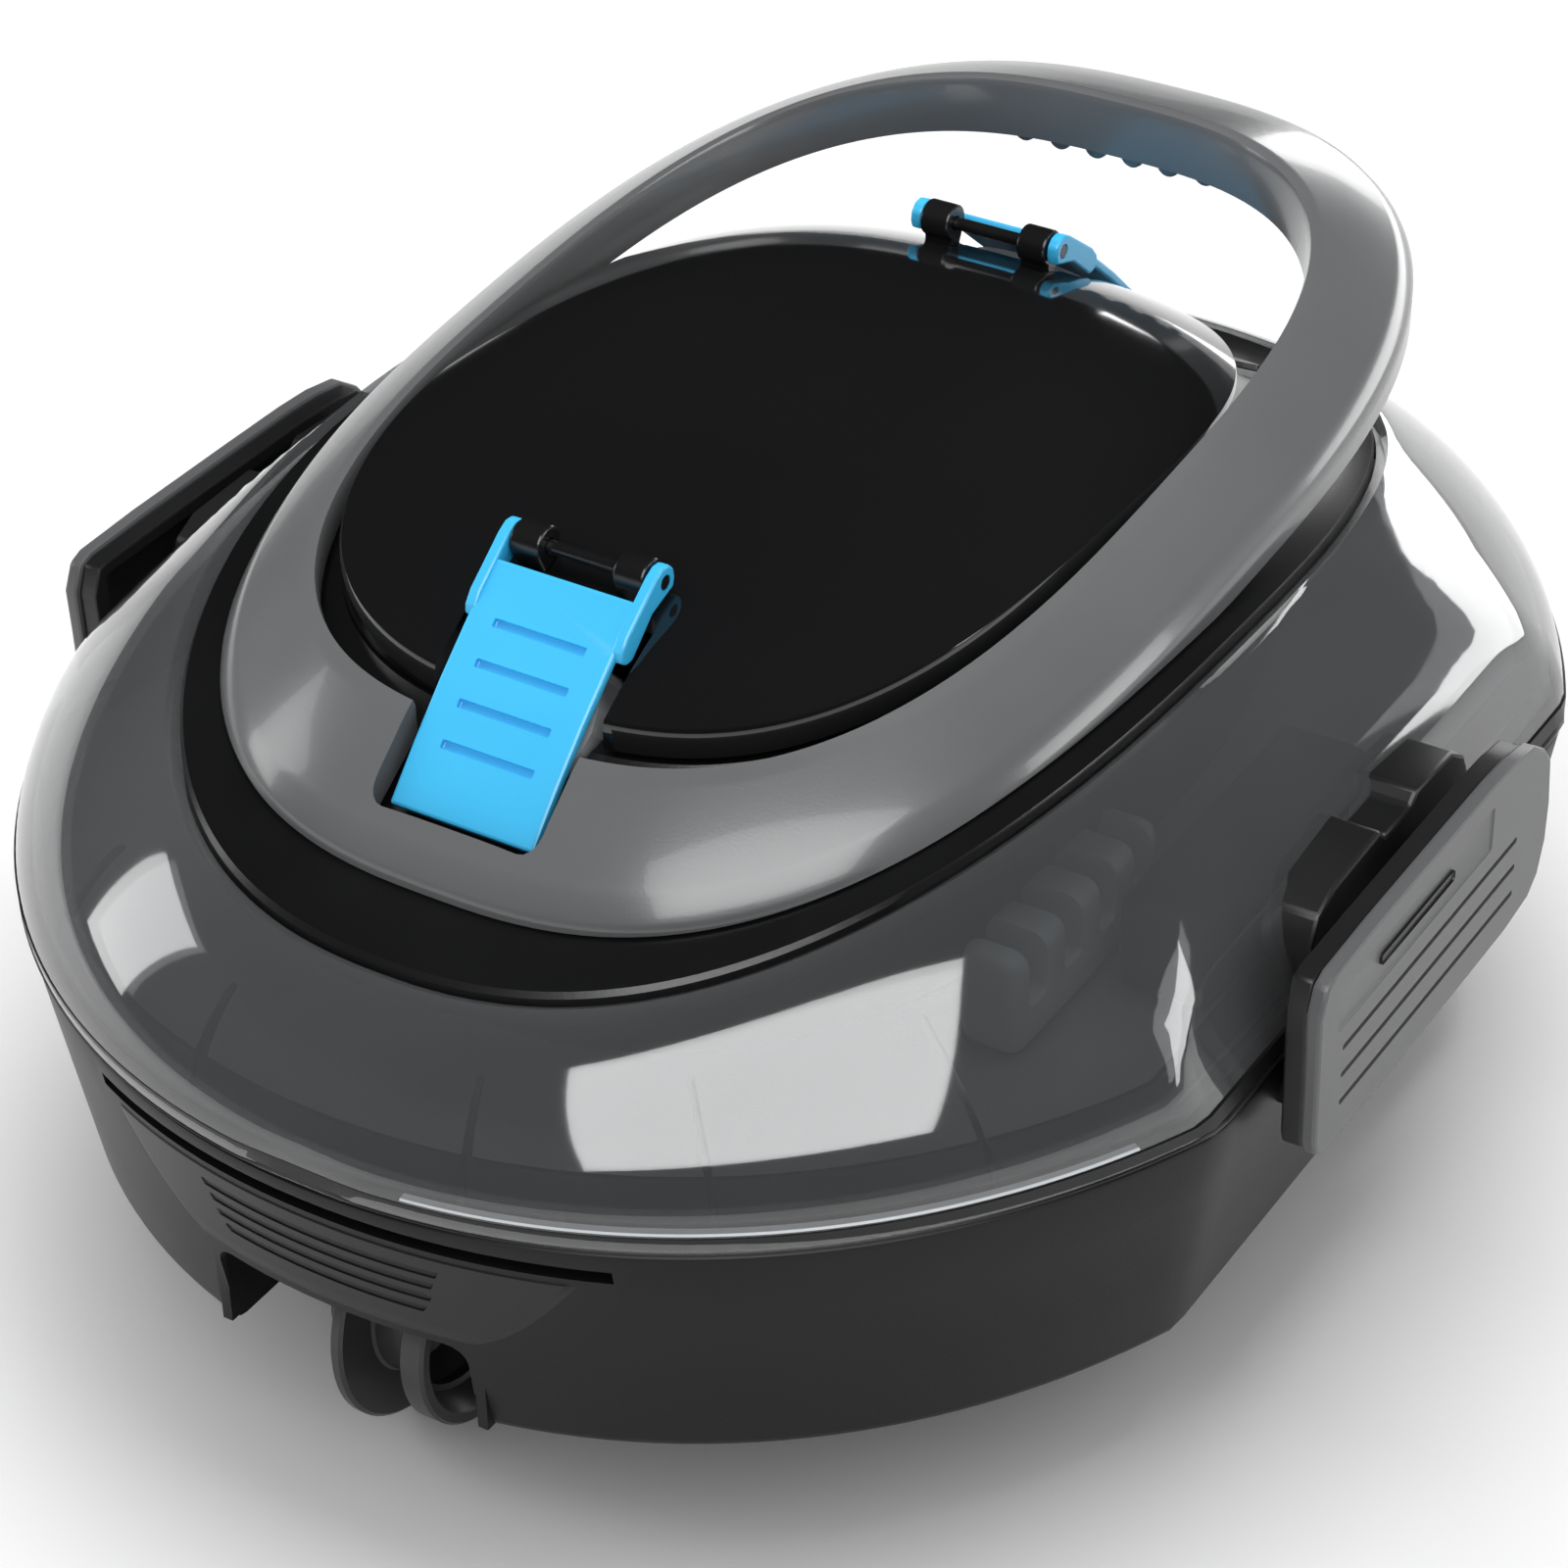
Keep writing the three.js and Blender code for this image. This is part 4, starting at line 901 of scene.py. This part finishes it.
for side in (-1, 1):
    x0, x1 = sorted((side * 16.9, side * 19.7))
    join_solid(flap, profile_slab("ear", ear_outline, x0, x1, sky_blue, 0.6), "UNION")
join_solid(flap, rod(PIN_HOLE, -30, 30, 0, FLAP_PIN, 32))
groove_turn = Matrix.Rotation(flap_slope, 3, "X")
for y in (-102.6, -109.6, -116.4, -123.0):
    upper, lower = next((a, b) for a, b in zip(ridge, ridge[1:]) if a.y >= y >= b.y)
    z = upper.z + (lower.z - upper.z) * (y - upper.y) / (lower.y - upper.y)
    groove = block(-11.5, 11.5, -1.0, 1.0, -1.2, 1.2, 0.4, along=0)
    for vertex in groove.data.vertices:
        vertex.co = (groove_turn @ (vertex.co / MM) + Vector((0, y, z))) * MM
    join_solid(flap, groove)
clean_up(flap)
rear_flap = turned_copy(flap, "rear_flap_plate")
for piece, node in ((flap, "front_flap"), (rear_flap, "rear_flap")):
    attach(piece, node)
    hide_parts(node)


# Handle: one grey hoop round the lid, chamfered inside and out, notched in front for the flap
# and standing clear of the bezel at the rear as a grip, with a row of finger bumps underneath.
# Glossy grey ABS, moulded in one.
HOOP_OUTSIDE = (105.4, 162.3, 2.66)
HOOP_INSIDE = (84.2, 132.3, 2.85)
OUTSIDE_SHIFT, INSIDE_SHIFT = 16.7, 12.7
CHAMFER, BEZEL_GAP, LEAST_WALL = 3.4, 0.9, 2
handle_grey = plastic(
    "gloss_grey_plastic", (0.132, 0.135, 0.139), (0.154, 0.157, 0.161), 0.22,
    coat=0.3, grain_size=1500, bump=0.04,
)


def handle_corner(turn, corner):
    ox, oy = superellipse(*HOOP_OUTSIDE, turn, OUTSIDE_SHIFT)
    ix, iy = superellipse(*HOOP_INSIDE, turn, INSIDE_SHIFT)
    t = oy / 100
    outer_z = 164.1 + 10.39 * t - 3.04 * t * t + 1.38 * t ** 3
    t = iy / 100
    inner_z = 177.2 + 9.94 * t - 1.97 * t * t + 1.19 * t ** 3
    growth = max(0.0, min(1.0, (oy + 145) / 325))
    over_bezel = bezel_height(ox, oy) + BEZEL_GAP if abs(oy) < BEZEL[1] else 0
    outer_low = min(max(outer_z - 5 - 7 * growth, over_bezel), outer_z - LEAST_WALL)
    inner_low = max(inner_z - 10 - 5.5 * growth, bezel_height(ix, iy) + BEZEL_GAP)

    def at(share, z):
        return ox + (ix - ox) * share, oy + (iy - oy) * share, z

    def top(share):
        return outer_z + (inner_z - outer_z) * share

    first = CHAMFER / math.dist((ox, oy), (ix, iy))
    last = 1 - first * 0.9
    shoulder = outer_z - 3.2
    rows = [
        at(0, outer_low),
        at(0, outer_low + (shoulder - outer_low) * 0.6),
        at(0, shoulder),
        at(first * 0.25, outer_z - 1.6),
        at(first, top(first) - 0.1),
        at(first + 0.06, top(first + 0.06) + 0.1),
        at(0.5, top(0.5) + 0.5),
        at(last - 0.06, top(last - 0.06) + 0.1),
        at(last, top(last)),
        at(1 - first * 0.2, inner_z - 1.2),
        at(1, inner_z - 2.8),
        at(1, inner_low),
        at(0.5, (inner_low + outer_low) / 2),
    ]
    return rows[corner]


HOOP_ROWS, GRIP_BUMPS = 13, 7
handle = ring_of("carry_hoop", 208, HOOP_ROWS, handle_corner, handle_grey)
notch = block(-20.8, 20.8, -137.6, -90, 100, 220, 4, along=2)
join_solid(handle, notch)
for i in range(GRIP_BUMPS):
    bump = rod(3.2, 146.5, 160, 1, (-26 + 10 * i, 175.6), 24)
    bevelled(bump, 1.4, 3)
    join_solid(handle, bump, "UNION")
clean_up(handle)
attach(handle, "top_unit")
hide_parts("handle")


# Side latches: a grey outer plate over a dark clip, hinged at its foot on a steel pin, in front of
# a dark finger recess on the cover. Three grooves give the finger a grip, under a shallow panel
# that carries a plain raised bar.
latch_grey = plastic(
    "latch_grey_plastic", (0.10, 0.102, 0.105), (0.12, 0.122, 0.126), 0.4,
    grain_size=1300, bump=0.1,
)
latch_dark = plastic(
    "latch_dark_plastic", (0.010, 0.0102, 0.0108), (0.016, 0.0163, 0.017), 0.4, bump=0.08,
)
recess_outline = [
    (-44, 97), (-44, 112), (-41, 118), (-34, 121.5), (-12, 122.5), (-9, 119.5),
    (3, 119.5), (6, 122.5), (24, 121.5), (31, 117), (34, 111), (34, 97),
]


def latch_outline(grow):
    """The latch seen from its side, drawn larger all round by some mm."""
    part = grow * 0.7
    return [
        (-66 - grow, 80), (-66.5 - grow, 100), (-67 - grow, 113),
        (-64 - part, 119.3), (-60, 121 + part),
        (-40, 121.8 + grow), (-5, 122 + grow), (17, 122 + grow),
        (28, 121.5 + grow), (38, 119.8 + grow), (45, 115 + grow), (49 + grow, 110),
        (50.5 + grow, 98), (50 + grow, 88), (47 + part, 80), (42, 76 - part),
        (30, 74.3 - grow), (0, 74.0 - grow), (-40, 74.0 - grow),
        (-60, 74.4 - part), (-64.6 - part, 76.5),
    ]


for name, side in (("right", 1), ("left", -1)):
    x0, x1 = sorted((side * 134, side * 150.6))
    recess = profile_slab(f"{name}_finger_recess", recess_outline, x0, x1, latch_dark, 1.0)
    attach(recess, "top_unit")
    x0, x1 = sorted((side * 160.2, side * 163.9))
    outer_plate = profile_slab(f"{name}_latch_plate", latch_outline(-0.2), x0, x1, latch_grey, 0.9)
    x0, x1 = sorted((side * 162.9, side * 166))
    for i in range(3):
        z = 98.5 - i * 7.2
        join_solid(outer_plate, block(x0, x1, -55, 32, z - 0.75, z + 0.75, 0.5, along=0))
    x0, x1 = sorted((side * 163.4, side * 166))
    join_solid(outer_plate, block(x0, x1, -58.5, 18, 104, 116, 1.2, along=0))
    clean_up(outer_plate)
    x0, x1 = sorted((side * 163.1, side * 163.6))
    mark = block(x0, x1, -38, -2, 108.6, 111.4, 0.9, along=0)
    mark.name = mark.data.name = f"{name}_latch_bar"
    mark.data.materials.append(latch_dark)
    clean_up(mark)
    x0, x1 = sorted((side * 155.2, side * 160.1))
    clip = profile_slab(f"{name}_latch_clip", latch_outline(-1.4), x0, x1, latch_dark, 0.6)
    x0, x1 = sorted((side * 154, side * 159.2))
    join_solid(clip, block(x0, x1, -61, 45, 79, 117))
    x0, x1 = sorted((side * 152.5, side * 161.4))
    for lug_y in LATCH_LUGS_Y:
        join_solid(clip, block(x0, x1, lug_y - 4.4, lug_y + 4.4, 72, 85.5))
    clean_up(clip)
    for piece in (outer_plate, clip, mark):
        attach(piece, f"{name}_latch")
    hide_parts(f"{name}_latch")
    dress(f"{name}_latch_pin", steel)


# Controls on the rear of the bezel: the power button in its soft seal with a frosted light ring,
# and the charging socket under a rubber plug.
dress("power_button", latch_grey)
dress("button_seal", rubber)
dress("status_lens", frosted)
dress("charge_port", hook_black)
dress("charge_plug", rubber)

bpy.context.view_layer.update()
